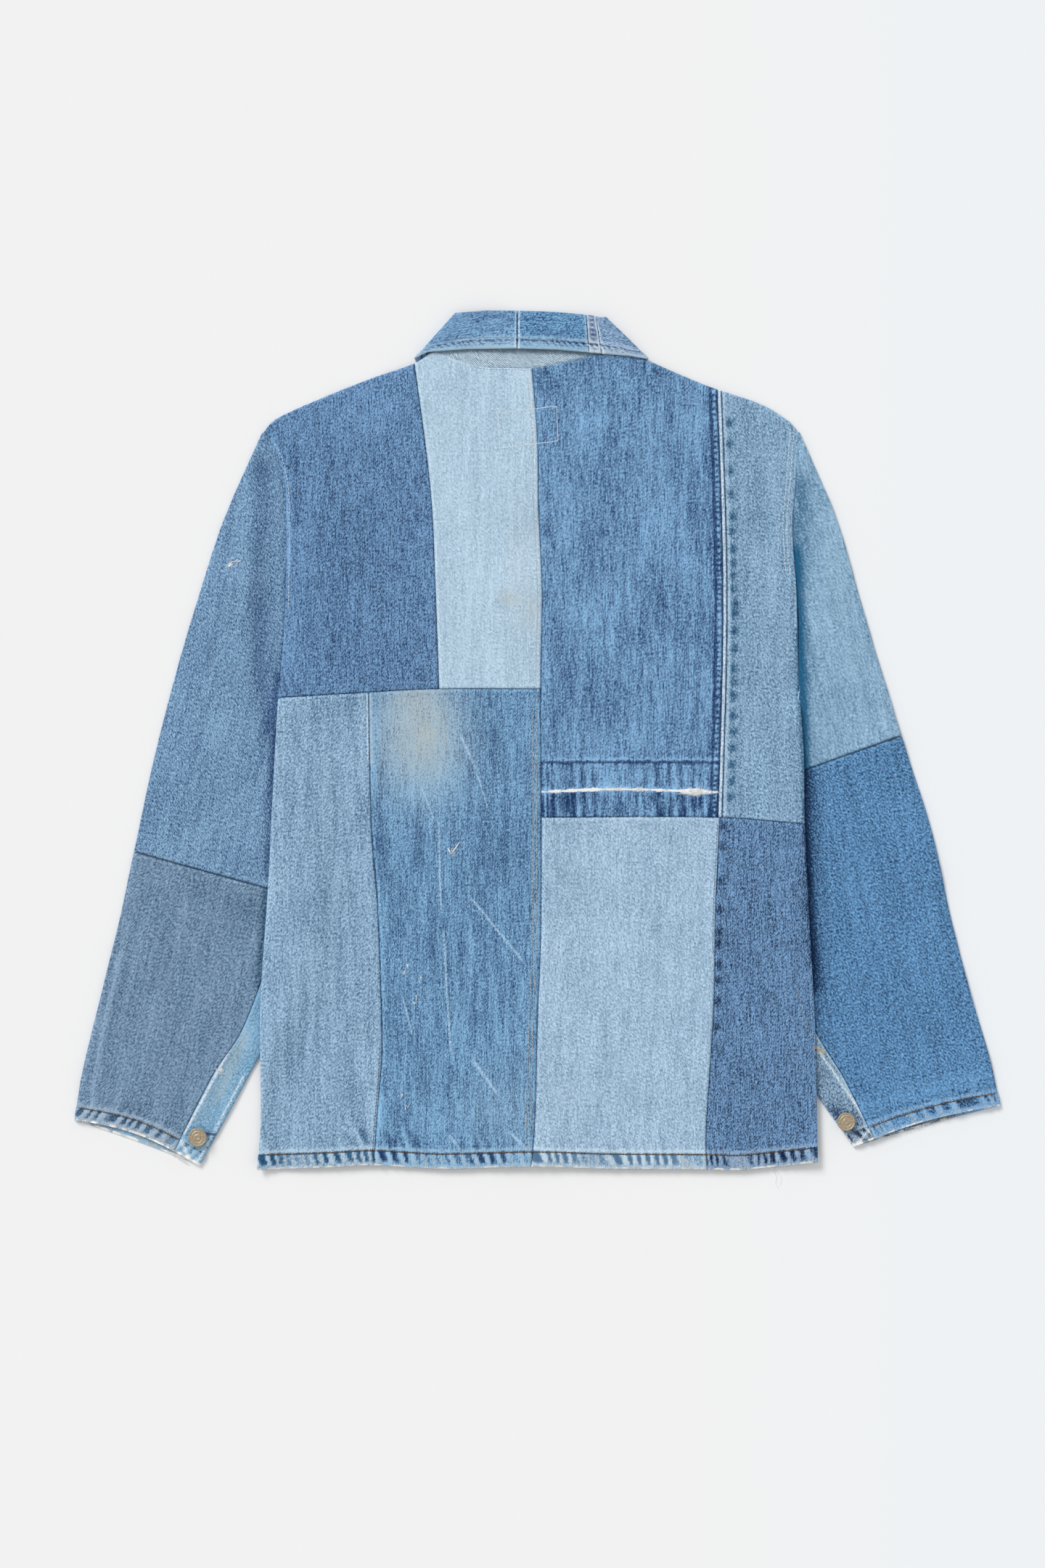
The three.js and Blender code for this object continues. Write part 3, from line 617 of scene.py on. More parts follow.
class Value:
    """A shader socket that takes part in sums."""

    def __init__(self, graph: "Graph", socket: bpy.types.NodeSocket) -> None:
        """Keeps the socket and the graph that it is in."""
        self.graph, self.socket = graph, socket

    def maths(self, operation: str, *others: Union["Value", float]) -> "Value":
        """A Math node on this value and others."""
        sockets = dict(enumerate([self, *others]))
        return self.graph.node("ShaderNodeMath", {"operation": operation}, sockets)

    def __add__(self, other: Union["Value", float]) -> "Value":
        """Sum."""
        return self.maths("ADD", other)

    __radd__ = __add__

    def __mul__(self, other: Union["Value", float]) -> "Value":
        """Product."""
        return self.maths("MULTIPLY", other)

    __rmul__ = __mul__

    def __sub__(self, other: Union["Value", float]) -> "Value":
        """Difference."""
        return self.maths("SUBTRACT", other)

    def __rsub__(self, other: float) -> "Value":
        """Difference from a number."""
        return self * -1.0 + other

    def step(self, low: float, high: float) -> "Value":
        """A smooth step from 0 at low to 1 at high."""
        kind = {"interpolation_type": "SMOOTHSTEP"}
        return self.graph.node("ShaderNodeMapRange", kind, {0: self, 1: low, 2: high, 3: 0.0, 4: 1.0})

    def clamped(self) -> "Value":
        """Kept from 0 to 1."""
        return self.graph.node("ShaderNodeClamp", {}, {0: self})

    def eased(self) -> "Value":
        """Brought between 0 and 1 with soft ends."""
        return ((self - 0.5) * 1.7).maths("TANH") * 0.5 + 0.5


class Graph:
    """A material and its nodes."""

    def __init__(self, name: str) -> None:
        """Starts an empty material.

        Args:
            name: The material's name.
        """
        self.material = bpy.data.materials.new(name)
        self.material.use_nodes = True
        self.tree = self.material.node_tree
        self.tree.nodes.clear()

    def node(self, kind: str, settings: dict, sockets: dict, out: Union[int, str] = 0) -> Value:
        """Adds a node.

        Args:
            kind: The node's type.
            settings: Its own settings, set first.
            sockets: Values or links of its inputs.
            out: Which output is wanted.

        Returns:
            That output.
        """
        made = self.tree.nodes.new(kind)
        for key, value in settings.items():
            setattr(made, key, value)
        for key, value in sockets.items():
            if isinstance(value, Value):
                self.tree.links.new(value.socket, made.inputs[key])
            else:
                made.inputs[key].default_value = value
        return Value(self, made.outputs[out])

    def layer(self, name: str, out: str = "Fac") -> Value:
        """One of the sheet's own layers."""
        return self.node("ShaderNodeAttribute", {"attribute_name": name}, {}, out)

    def places(self) -> Value:
        """Object coordinates."""
        return self.node("ShaderNodeTexCoord", {}, {}, "Object")

    def noise(
        self, where: Value, size: Point, turn: float = 0.0, shift: float = 0.0, detail: float = 1.0
    ) -> Value:
        """Uneven cloth, from about -0.5 to 0.5.

        Args:
            where: The place on the cloth.
            size: Width and length of its features, in millimetres.
            turn: Lean of their length, in degrees.
            shift: Moves the draw.
            detail: How much finer unevenness is added.

        Returns:
            The unevenness, 0 on average.
        """
        scale = (size[0] * MM, size[1] * MM, 1.0)
        place = (shift, 0.37 * shift, 0.0)
        frame = {"Rotation": (0.0, 0.0, math.radians(turn)), "Scale": scale, "Location": place}
        moved = self.node("ShaderNodeMapping", {"vector_type": "TEXTURE"}, {"Vector": where, **frame})
        sockets = {"Vector": moved, "Scale": 1.0, "Detail": detail, "Roughness": 0.55}
        return self.node("ShaderNodeTexNoise", {}, sockets) - 0.5

    def stripes(self, where: Value, pitch: float, turn: float, break_up: Value) -> Value:
        """Fine lines across the cloth, from -1 to 1.

        Args:
            where: The place on the cloth.
            pitch: From line to line, in millimetres.
            turn: Lean of the lines, in degrees.
            break_up: Moves the lines, in radians.

        Returns:
            The lines.
        """
        frame = {"Rotation": (0.0, 0.0, math.radians(turn)), "Scale": (pitch * MM, pitch * MM, 1.0)}
        moved = self.node("ShaderNodeMapping", {"vector_type": "TEXTURE"}, {"Vector": where, **frame})
        run = self.node("ShaderNodeSeparateXYZ", {}, {0: moved}, 0)
        return (run * math.tau + break_up).maths("SINE")

    def mix(self, share: Value, one: Union[Value, tuple], two: Union[Value, tuple]) -> Value:
        """A colour between two."""
        return self.node("ShaderNodeMix", {"data_type": "RGBA"}, {0: share, 6: one, 7: two}, 2)

    def finish(self, sockets: dict) -> bpy.types.Material:
        """Adds the surface shader.

        Args:
            sockets: Values or links of its inputs.

        Returns:
            The material.
        """
        surface = self.node("ShaderNodeBsdfPrincipled", {}, sockets)
        output = self.tree.nodes.new("ShaderNodeOutputMaterial")
        self.tree.links.new(surface.socket, output.inputs["Surface"])
        return self.material


def linear(colour: Colour) -> tuple[float, float, float, float]:
    """A screen colour as a shader takes it."""
    parts = [c / 255 for c in colour]
    return (*(p / 12.92 if p <= 0.04045 else ((p + 0.055) / 1.055) ** 2.4 for p in parts), 1.0)


class Twill(Enum):
    """Which way the weave's fine ribs lean, in degrees."""

    RIGHT = -38.0
    LEFT = 38.0
    STEEP = -24.0


WHITE_WEFT: Colour = (240, 240, 238)
EARTH: Colour = (184, 188, 180)


@dataclass(frozen=True)
class Denim:
    """Worn denim.

    Attributes:
        deep: Colour of the unworn warp.
        pale: Colour where it is worn.
        level: How worn it is on the whole.
        twill: Which way the ribs lean.
        rib: Strength of the ribs.
        slub: Strength of the fine streaks along the warp.
        speck: Strength of the speckle.
        broad: Strength of broad streaks along the warp.
        cloud: Strength of the mottling.
        rib_long: Length of a rib, in millimetres.
        line: Strength of the twill's fine lines.
        shift: Moves the draw.
        scratches: Pale scuffs as (from, to, half-width) in plan.
        strength: How strong the rib, slubs, specks and twill lines are together.
    """

    deep: Colour
    pale: Colour
    level: float = 0.5
    twill: Twill = Twill.RIGHT
    rib: float = 1.9
    slub: float = 1.5
    speck: float = 2.9
    broad: float = 0.5
    cloud: float = 0.4
    rib_long: float = 3.4
    line: float = 0.24
    shift: float = 0.0
    scratches: tuple[tuple[Point, Point, float], ...] = ()
    strength: float = 1.0
    PITCH = 1.3
    RIB = 0.9
    SLUB = (1.2, 16.0)
    SPECK = (1.4, 1.9)
    BROAD = (6.5, 80.0)
    CLOUD = (42.0, 58.0)

    def scuffed(self, graph: Graph) -> Optional[Value]:
        """The scuffs drawn on the cloth, or None."""
        where = graph.places()
        total: Optional[Value] = None
        for (ax, ay), (bx, by), width in self.scratches:
            angle = math.atan2(by - ay, bx - ax)
            length = math.hypot(bx - ax, by - ay)
            start = (ax * MM, ay * MM, 0.0)
            frame = {"Rotation": (0.0, 0.0, angle), "Location": start, "Scale": (MM, MM, MM)}
            local = graph.node("ShaderNodeMapping", {"vector_type": "TEXTURE"}, {"Vector": where, **frame})
            along = graph.node("ShaderNodeSeparateXYZ", {}, {0: local}, 0)
            across = graph.node("ShaderNodeSeparateXYZ", {}, {0: local}, 1).maths("ABSOLUTE")
            ends = along.step(-4.0, 6.0) * (length - along).step(-4.0, 6.0)
            line = (1.0 - across.step(0.2 * width, 1.8 * width)) * ends
            total = line if total is None else total + line
        return total

    def material(self, name: str) -> bpy.types.Material:
        """Makes the material.

        Args:
            name: Its name.

        Returns:
            The material.
        """
        graph = Graph(name)
        cloth = graph.layer("cloth", "Vector")
        rib = graph.noise(cloth, (self.RIB, self.rib_long), self.twill.value, self.shift)
        slub = graph.noise(cloth, self.SLUB, shift=self.shift + 1.3)
        speck = graph.noise(cloth, self.SPECK, shift=self.shift + 2.1, detail=2.0)
        line = graph.stripes(cloth, self.PITCH, self.twill.value, rib * 6.0)
        broad = graph.noise(cloth, self.BROAD, shift=self.shift + 3.7)
        cloud = graph.noise(cloth, self.CLOUD, shift=self.shift + 4.9, detail=2.0)
        uneven = (rib * self.rib + slub * self.slub + speck * self.speck + line * self.line) * self.strength
        # The wear layer carries worn places and painted light and shade alike into the tone.
        tone = uneven + broad * self.broad + cloud * self.cloud + graph.layer("wear_and_shade") + self.level
        scuffs = self.scuffed(graph)
        if scuffs is not None:
            tone = tone + scuffs * 0.34
        colour = graph.mix(tone.eased(), linear(self.deep), linear(self.pale))
        if scuffs is not None:
            colour = graph.mix((scuffs * (0.16 + speck * 0.7)).clamped(), colour, linear(WHITE_WEFT))
        soil = (graph.layer("soil") * (1.0 + speck * 2.0 + slub * 1.4 + rib)).clamped()
        colour = graph.mix(soil, colour, linear(EARTH))
        bare = (graph.layer("bare") * (1.0 + speck * 1.6 + rib * 0.8)).step(0.25, 0.8)
        colour = graph.mix(bare, colour, linear(WHITE_WEFT))
        relief = rib * 0.4 + slub * 0.3 + speck * 0.3 + line * 0.12
        bump = graph.node("ShaderNodeBump", {}, {"Strength": 0.26, "Distance": 0.0003, "Height": relief})
        rough = 0.9 + speck * 0.12
        surface = {"Base Color": colour, "Roughness": rough, "Normal": bump, "Specular IOR Level": 0.12}
        return graph.finish(surface)


@dataclass(frozen=True)
class Thread:
    """Sewing thread or loose fibre.

    Attributes:
        colour: Its colour.
        faded: Its colour where it is worn.
    """

    colour: Colour
    faded: Colour

    def material(self, name: str) -> bpy.types.Material:
        """Makes the material, uneven along the seam."""
        graph = Graph(name)
        where = graph.places()
        uneven = graph.noise(where, (2.2, 2.2)) * 2.2 + 0.5
        twist = graph.noise(where, (0.4, 0.4))
        colour = graph.mix(uneven.clamped(), linear(self.colour), linear(self.faded))
        bump = graph.node("ShaderNodeBump", {}, {"Strength": 0.4, "Distance": 0.0002, "Height": twist})
        rough = 0.8 + twist * 0.3
        surface = {"Base Color": colour, "Roughness": rough, "Normal": bump, "Specular IOR Level": 0.2}
        return graph.finish(surface)


@dataclass(frozen=True)
class AgedMetal:
    """Stamped tan-coloured metal, dulled.

    Attributes:
        bright: Colour of its rubbed parts.
        dull: Colour of its grime.
    """

    bright: Colour = (200, 184, 158)
    dull: Colour = (122, 106, 84)

    def material(self, name: str) -> bpy.types.Material:
        """Makes the material."""
        graph = Graph(name)
        where = graph.places()
        patina = (graph.noise(where, (1.6, 1.6), detail=3.0) * 1.6 + 0.38).clamped()
        grain = graph.noise(where, (0.35, 0.35), detail=2.0)
        colour = graph.mix(patina, linear(self.bright), linear(self.dull))
        rough = 0.42 + patina * 0.25
        relief = {"Strength": 0.35, "Distance": 0.0002, "Height": grain + patina}
        bump = graph.node("ShaderNodeBump", {}, relief)
        return graph.finish({"Base Color": colour, "Roughness": rough, "Normal": bump, "Metallic": 0.6})


# The back


class Edge(Enum):
    """The four edges of a panel."""

    LEFT = 0
    RIGHT = 1
    FOOT = 2
    HEAD = 3


@dataclass
class Panel:
    """One panel of the back.

    Attributes:
        node: The solid that it stands for.
        sides: Left and right edges, as x by y.
        ends: Foot and head, as y by x.
        finish: Its denim.
        free: Edges that roll under. The others are sewn.
        hem: The hem at its foot, if it has one.
        step: The widest grid step across.
        tread: The widest grid step along.
        close: Spans of close rows, from the foot.
        columns: Spans of close columns, from the left.
        pale: How pale its seam edges are.
        marks: What is on it.
        on_it: Narrow pieces sewn to it; not used.
    """

    node: str
    sides: tuple[Curve, Curve]
    ends: tuple[Curve, Curve]
    finish: Denim
    free: tuple[Edge, ...] = ()
    hem: Optional[Hem] = None
    step: float = 2.6
    tread: float = 2.8
    close: tuple[tuple[float, float, float], ...] = ()
    columns: tuple[tuple[float, float, float], ...] = ()
    pale: float = 0.16
    marks: tuple[Mark, ...] = ()
    on_it: tuple[str, ...] = ()
    SETTLE = 60
    RIPPLES = ((0.30, 85, 11), (0.14, 31, 12))

    def plan(self) -> tuple[Array, Array]:
        """The panel's grid in plan, half a seam in from its sewn edges."""
        (left, right), (foot, head) = self.sides, self.ends
        x, y = np.array(0.0), np.array(0.0)
        for _ in range(self.SETTLE):
            y = (y + (foot(x) + head(x)) / 2) / 2
            x = (x + (left(y) + right(y)) / 2) / 2
        wide, tall = float(right(y) - left(y)), float(head(x) - foot(x))
        u = march(wide, self.step, (*close_ends(wide), *self.columns))[None, :]
        v = march(tall, self.tread, (*close_ends(tall), *self.close))[:, None]
        x, y = np.full((v.size, u.size), float(x)), np.full((v.size, u.size), float(y))
        half = SEAM / 2
        for _ in range(self.SETTLE):
            low, high = foot(x) + half, head(x) - half
            y = (y + low + (high - low) * v) / 2
            low, high = left(y) + half, right(y) - half
            x = (x + low + (high - low) * u) / 2
        return x, y

    def edges(self, x: Array, y: Array) -> dict[Edge, Array]:
        """Distance in from each edge."""
        (left, right), (foot, head) = self.sides, self.ends
        return {
            Edge.LEFT: x - left(y), Edge.RIGHT: right(y) - x,
            Edge.FOOT: y - foot(x), Edge.HEAD: head(x) - y,
        }

    def build(self) -> bpy.types.Object:
        """Makes the panel and puts it in place.

        Returns:
            The panel.
        """
        x, y = self.plan()
        paint = Paint.blank(x, y)
        paint.add(x, y, (*BACK_FOLDS, *self.marks))
        paint.rise += unevenness(x, y, self.RIPPLES)
        for edge, off in self.edges(x, y).items():
            if edge in self.free:
                paint.rise -= roll_under(off, 1.8, 1.5)
                paint.wear_and_shade += 0.14 * hump(off - 1.0, 1.5)
            else:
                seam_dip(paint, off, self.pale)
        self.dress(paint, x, y)
        outer = np.stack([x, y, Lie.back(x, y) + CLOTH], axis=-1)
        out = np.zeros_like(outer)
        out[..., 2] = 1.0
        return put_on(self.node, self.finish, outer, out, paint)

    def dress(self, paint: Paint, x: Array, y: Array) -> None:
        """Lays the hem, if there is one."""
        if self.hem:
            self.hem.lay(paint, x, y - self.ends[0](x))


def dots(xs: Sequence[float], ys: Sequence[float], wide: float, tall: float, wear_and_shade: float) -> tuple[Mark, ...]:
    """Dark spots that an old seam's puckers left, with their half-width and half-length."""
    return tuple(Mark(((x, y),), wide, tall, wear_and_shade=wear_and_shade) for x, y in zip(xs, ys))


@dataclass
class LetDownHem:
    """The foot of the middle panel, where an old hem was let down.

    Attributes:
        stitch: Height of the old stitching.
        crease: The worn crease.
        tear: Middle of the frayed place on it.
    """

    stitch: float = -17.9
    crease: Line = field(default_factory=lambda: Line((3, -44.5), (60, -42.2), (100, -42.6), (166, -45.0)))
    tear: Point = (141.0, -44.6)

    def lay(self, paint: Paint, x: Array, y: Array) -> None:
        """Wears and puckers the cloth between the stitching and the seam below."""
        band = ease((self.stitch - y) / 2.0)
        off = y - self.crease(x)
        lower = ease(-off / 3.0)
        phase = x / 9.8 + 0.5 * Ripple(38, 31)(x) + 0.004 * off
        pucker = np.tanh(1.5 * (np.sin(2 * np.pi * phase) + 0.45 * np.sin(2 * np.pi * 2.3 * phase + 0.7)))
        fine = Ripple(5.5, 33)(x, 0.2 * y)
        some = np.clip(0.8 + 0.4 * Ripple(45, 34)(x), 0.25, 1.2)
        paint.rise += band * (0.45 * pucker * some + 0.08 * fine) + 0.7 * hump(off, 2.6)
        paint.wear_and_shade += band * (1 - lower) * (0.42 * pucker * some + 0.10 * fine + 0.03)
        paint.wear_and_shade += lower * (-0.20 + 0.70 * pucker * some + 0.14 * fine)
        scallop = 0.8 * np.sin(2 * np.pi * phase)
        worn = 0.48 * hump(y - self.stitch - 2.6 - scallop, 1.4)
        paint.wear_and_shade += worn - 0.80 * hump(y - self.stitch - 0.3 * scallop, 1.3)
        paint.rise -= 0.5 * hump(y - self.stitch, 1.0)
        patchy = np.clip(0.95 + 0.16 * Ripple(17, 36)(x), 0.55, 1.2)
        paint.bare += 1.15 * patchy * hump(off, 1.25 + 0.3 * np.clip(Ripple(14, 37)(x), -1, 1))
        paint.wear_and_shade += 0.35 * hump(off, 3.0)
        tx, ty = self.tear
        spindle = np.clip(1 - np.abs((x - tx) / 13.0) ** 1.6, 0, 1)
        paint.bare += 1.3 * hump((y - ty) / np.maximum(spindle, 0.05), 3.3) * ease(spindle * 3)
        slit = hump((x - tx - 3) / 6.0, 1.0) * hump(y - ty - 0.04 * (tx - x), 0.55)
        paint.bare -= 0.8 * slit
        paint.soil += 0.5 * slit


@dataclass
class MiddlePanel(Panel):
    """The middle panel: a felled seam at its right and a let-down hem at its foot."""

    old_hem: LetDownHem = field(default_factory=LetDownHem)
    fell: float = 9.0
    fell_raise: float = 0.7

    def dress(self, paint: Paint, x: Array, y: Array) -> None:
        """Lays the felled seam and the old hem."""
        felled = self.edges(x, y)[Edge.RIGHT]
        band = ease((self.fell - felled) / 1.4 + 0.5)
        rung = np.sin(2 * np.pi * (y / 5.2 + 0.4 * Ripple(50, 41)(y)))
        rows = hump(felled - 6.4, 0.9) + hump(felled - 0.8, 0.8)
        paint.rise += self.fell_raise * band - 0.45 * rows
        inner_row = 0.80 * hump(felled - 6.6, 1.4) + 0.14 * hump(felled - 8.8, 2.2)
        paint.wear_and_shade -= inner_row + 0.90 * hump(felled - 0.8, 0.8)
        paint.wear_and_shade += (0.65 * rung - 0.06) * hump(felled - 3.6, 1.5)
        self.old_hem.lay(paint, x, y)


@dataclass
class Back:
    """The pieced back.

    Attributes:
        hem: The plain hem at its left.
    """

    hem: Hem = field(default_factory=Hem)

    def panels(self) -> list[Panel]:
        """The back's panels.

        Returns:
            Upper row first, from left to right.
        """
        o, e = Outline, Edge
        hem_rows = ((0.0, 30.0, 1.1),)
        upper_left = Panel(
            "back_upper_left", (o.body_left, o.slate_to_pale), (o.cross_left, o.top),
            Denim((9, 35, 75), (135, 179, 223), 0.46, Twill.STEEP, shift=1.0, strength=0.92),
            (e.LEFT, e.HEAD), pale=0.10,
            marks=(
                # Folds at the armhole: the pale ridges are partly wear and partly painted highlight, and the
                # crease is painted darker as shade.
                Mark(
                    ((-237, 274), (-231, 249), (-224.5, 216), (-222.5, 184), (-222.5, 150)), 2.0, wear_and_shade=0.30,
                    rise=0.5,
                ),
                Mark(((-219, 262), (-214, 223), (-216, 196)), 5, wear_and_shade=-0.16, rise=-0.8),
                Mark(((-204, 225), (-205, 155)), 9, wear_and_shade=0.10),
                Mark(((-155, 296),), 56, 28, wear_and_shade=0.14),
                Mark(((-222, 215), (-222, 60)), 6, wear_and_shade=0.13),
                Mark(((-181, 250), (-176, 90)), 14, wear_and_shade=-0.08), Mark(((-145, 135),), 16, 40, wear_and_shade=-0.06),
            ),
        )
        pale = Panel(
            "back_upper_pale", (o.slate_to_pale, o.centre), (o.cross_left, o.top),
            Denim(
                (124, 155, 178), (212, 235, 252), 0.50, Twill.LEFT, rib=1.2, slub=0.7, speck=1.9, shift=2.0,
            ),
            (e.HEAD,), pale=0.2,
            marks=(
                Mark(((-26.3, 128.4),), 9, 7, soil=0.40),
                Mark(((-5.5, 118.6),), 6, 15, soil=0.34),
                Mark(((-60, 180),), 22, 60, wear_and_shade=0.06),
                Mark(((-18, 150),), 12, 70, soil=0.12),
            ),
        )
        middle = MiddlePanel(
            "back_upper_mid", (o.centre, o.fell), (o.cross_right, o.top),
            Denim(
                (11, 43, 91), (146, 193, 233), 0.47, Twill.RIGHT, slub=1.8, cloud=0.8, broad=0.9, shift=3.0,
                strength=0.86,
            ),
            (e.HEAD,), step=2.3, tread=1.5, close=((0.0, 58.0, 1.2),), columns=((153.0, 170.0, 0.75),),
            pale=0.10,
            marks=(
                Mark(((10, 320),), 15, 26, wear_and_shade=-0.13),
                Mark(((80, 200),), 40, 60, wear_and_shade=0.06), Mark(((153, -20), (153, -62)), 6, wear_and_shade=0.40),
                # The spot at (40, 335) is painted lighter to even out the shadow that the stand casts there:
                # painted light.
                Mark(((19, 50),), 12, 30, wear_and_shade=0.10), Mark(((40, 335),), 14, 16, wear_and_shade=0.12),
                Mark(((100, 10),), 60, 16, wear_and_shade=0.05),
            ),
        )
        strip = Panel(
            "back_seam_strip", (o.fell, o.strip), (o.cross_right, o.top),
            Denim((92, 135, 173), (224, 239, 249), 0.75, shift=4.0), (e.HEAD,), step=0.6, pale=0.0,
            marks=(Mark(((165, 320), (169, 171), (169, 74), (165, -67)), 3.0, rise=0.75),),
        )
        draw = np.random.default_rng(51)
        dot_y = np.array([
            286, 267, 243, 222, 202, 189, 173, 160, 149, 137, 124, 115, 100, 84, 66, 54, 42, 24, 10, -5, -20,
            -35, -49,
        ])
        dot_x = o.strip(dot_y) + np.where(dot_y > 130, 5.6, 7.4) + draw.uniform(-0.7, 0.7, dot_y.size)
        beyond = np.linspace(-68, 318, 12)
        upper_right = Panel(
            "back_upper_right", (o.strip, o.body_right), (o.cross_right, o.top),
            Denim((14, 76, 114), (178, 211, 238), 0.48, Twill.LEFT, slub=0.6, shift=5.0, strength=0.88),
            (e.RIGHT, e.HEAD), tread=1.5, columns=((0.0, 13.0, 0.9),), pale=0.22,
            marks=(
                *dots(dot_x, dot_y, 3.4, 3.9, -0.80),
                Mark(tuple(zip(o.strip(beyond) + 0.4, beyond)), 0.8, wear_and_shade=-0.70),
                Mark(tuple(zip(o.strip(beyond) + 2.8, beyond)), 1.5, wear_and_shade=0.34, soil=0.15),
                Mark(((214, 250), (212, 120)), 8, wear_and_shade=0.10),
                Mark(((226, 250), (224, 190)), 2.0, wear_and_shade=0.10),
                # A painted shadow along the back's right edge.
                painted_shadow(o.body_right, 100, -70, -0.8, 2.6, -0.55),
            ),
            on_it=("cloth_back_seam_strip",),
        )
        light = Panel(
            "back_lower_left", (o.body_left, o.light_to_stained), (o.hem, o.cross_left),
            Denim(
                (21, 76, 116), (186, 218, 244), 0.48, Twill.RIGHT, slub=0.8, broad=0.6, shift=6.0,
                strength=0.80,
            ),
            (e.LEFT, e.FOOT), self.hem, 2.0, close=hem_rows, pale=0.12,
            marks=(
                Mark(((-236, -100), (-238, -300)), 6, wear_and_shade=0.06),
                Mark(((-192, 34), (-152, 36)), 13, wear_and_shade=-0.12),
                Mark(((-247, -366),), 6, 9, wear_and_shade=0.45), Mark(((-149, -364), (-148, -318)), 5, wear_and_shade=0.25),
                Mark(((-157, -349), (-152, -359)), 3.0, wear_and_shade=-0.55, rise=-0.4),
                Mark(((-164, -346), (-156, -361)), 1.4, wear_and_shade=0.55, rise=0.5),
                Mark(((-171, -351), (-165, -361)), 2.6, wear_and_shade=-0.30, rise=-0.3),
                Mark(((-152.4, 42), (-151.6, -18)), 0.9, wear_and_shade=0.40, bare=0.55),
            ),
        )
        stained = Panel(
            "back_lower_stained", (o.light_to_stained, o.centre), (o.hem, o.cross_left),
            Denim(
                (10, 44, 93), (149, 199, 236), 0.43, Twill.STEEP, slub=1.7, broad=0.9, shift=7.0,
                strength=0.74,
                scratches=(
                    ((-68.6, 5.5), (-54.9, -23.7), 0.9), ((-88.7, -71.2), (-86.1, -151.1), 0.8),
                    ((-60.1, -138.8), (-13.3, -195.3), 0.9), ((-84.2, -167.4), (-77.7, -278.5), 0.8),
                    ((-58.2, -283.7), (-35.4, -315.6), 1.2), ((-79, -352), (-70.5, -362.4), 1.2),
                    ((-25, -348.7), (-11.4, -362.4), 1.2), ((-54, -28), (-44, -60), 0.6),
                    ((-104, -40), (-92, -70), 0.6), ((-120, -230), (-112, -262), 0.7),
                ),
            ),
            (e.FOOT,), Hem(seed=5, force=0.74, tone=0.24), 2.0, close=hem_rows, pale=0.20,
            marks=(
                Mark(((-107, 16),), 36, 50, soil=0.40, wear_and_shade=0.20),
                Mark(((-96, 14),), 20, 44, soil=0.15, wear_and_shade=0.05),
                Mark(((-100, -12),), 36, 36, wear_and_shade=0.20, soil=0.16),
                Mark(((-132, 6),), 14, 46, soil=0.05, wear_and_shade=0.09),
                Mark(((-114, 40),), 20, 15, soil=0.14, wear_and_shade=0.07),
                Mark(((-98, -40),), 52, 20, wear_and_shade=0.17),
                Mark(((-149.6, 42), (-149.0, -18)), 1.6, wear_and_shade=0.30, soil=0.30),
                Mark(((-49, -8),), 16, 46, wear_and_shade=-0.19),
                Mark(((-36, -115),), 18, 80, wear_and_shade=-0.11),
                Mark(((-141, -85),), 7, 70, wear_and_shade=-0.16),
                Mark(((-17, 44), (-17, -370)), 7, wear_and_shade=0.04),
                Mark(((-8, 44), (-8, -370)), 2.0, wear_and_shade=0.12, rise=0.4),
                Mark(((-30, -330),), 36, 36, wear_and_shade=0.08, soil=0.08),
                Mark(((-75, -335),), 40, 26, wear_and_shade=0.12), Mark(((-140, -364), (-139, -318)), 5, wear_and_shade=0.40),
                Mark(((-70, -250),), 30, 60, wear_and_shade=0.03),
                Mark(((-138, -351), (-130, -360)), 5.0, wear_and_shade=-0.30, rise=-0.4),
                Mark(((-121, -346), (-116, -362)), 1.5, wear_and_shade=0.60, rise=0.5),
                Mark(((-113, -350), (-108, -361)), 3.6, wear_and_shade=-0.34, rise=-0.3),
            ),
        )
        lower_pale = Panel(
            "back_lower_pale", (o.centre, o.pale_to_slate), (o.hem, o.cross_right),
            Denim((81, 117, 150), (205, 232, 253), 0.50, Twill.LEFT, rib=1.3, slub=0.7, speck=2.1, shift=8.0),
            (e.FOOT,), Hem(seed=9, force=0.78, tone=-0.12), 2.0, close=hem_rows, pale=0.14,
            marks=(
                Mark(((35, -343),), 26, 14, wear_and_shade=-0.08), Mark(((130, -352),), 20, 8, wear_and_shade=-0.06),
                Mark(((36, -96),), 24, 20, wear_and_shade=0.10),
            ),
        )
        slate_y = np.array([-75, -93, -124, -150, -169, -180, -199, -213, -232, -255])
        slate = Panel(
            "back_lower_slate", (o.pale_to_slate, o.body_right), (o.hem, o.cross_right),
            Denim((7, 30, 62), (134, 176, 221), 0.46, Twill.STEEP, shift=9.0),
            (e.RIGHT, e.FOOT), Hem(seed=13, force=0.74, fray=1.0, tone=0.08), 2.0, 1.7, hem_rows,
            ((0.0, 8.0, 1.0),), 0.10,
            marks=(
                *dots(o.pale_to_slate(slate_y) + 3.4, slate_y, 3.4, 4.4, -0.75),
                Mark(((165, -85), (160, -260)), 6, wear_and_shade=0.06),
                # A painted shadow along the back's right edge.
                painted_shadow(o.body_right, -70, -200, -0.8, 2.6, -0.45),
                Mark(((248, -362),), 6, 10, wear_and_shade=0.45),
            ),
        )
        return [upper_left, pale, middle, strip, upper_right, light, stained, lower_pale, slate]

    def build(self) -> list[bpy.types.Object]:
        """Makes the back's panels."""
        return [panel.build() for panel in self.panels()]


# The fronts


def upright(x: float) -> Curve:
    """An edge that runs straight up at one x."""
    return lambda y: 0 * y + x


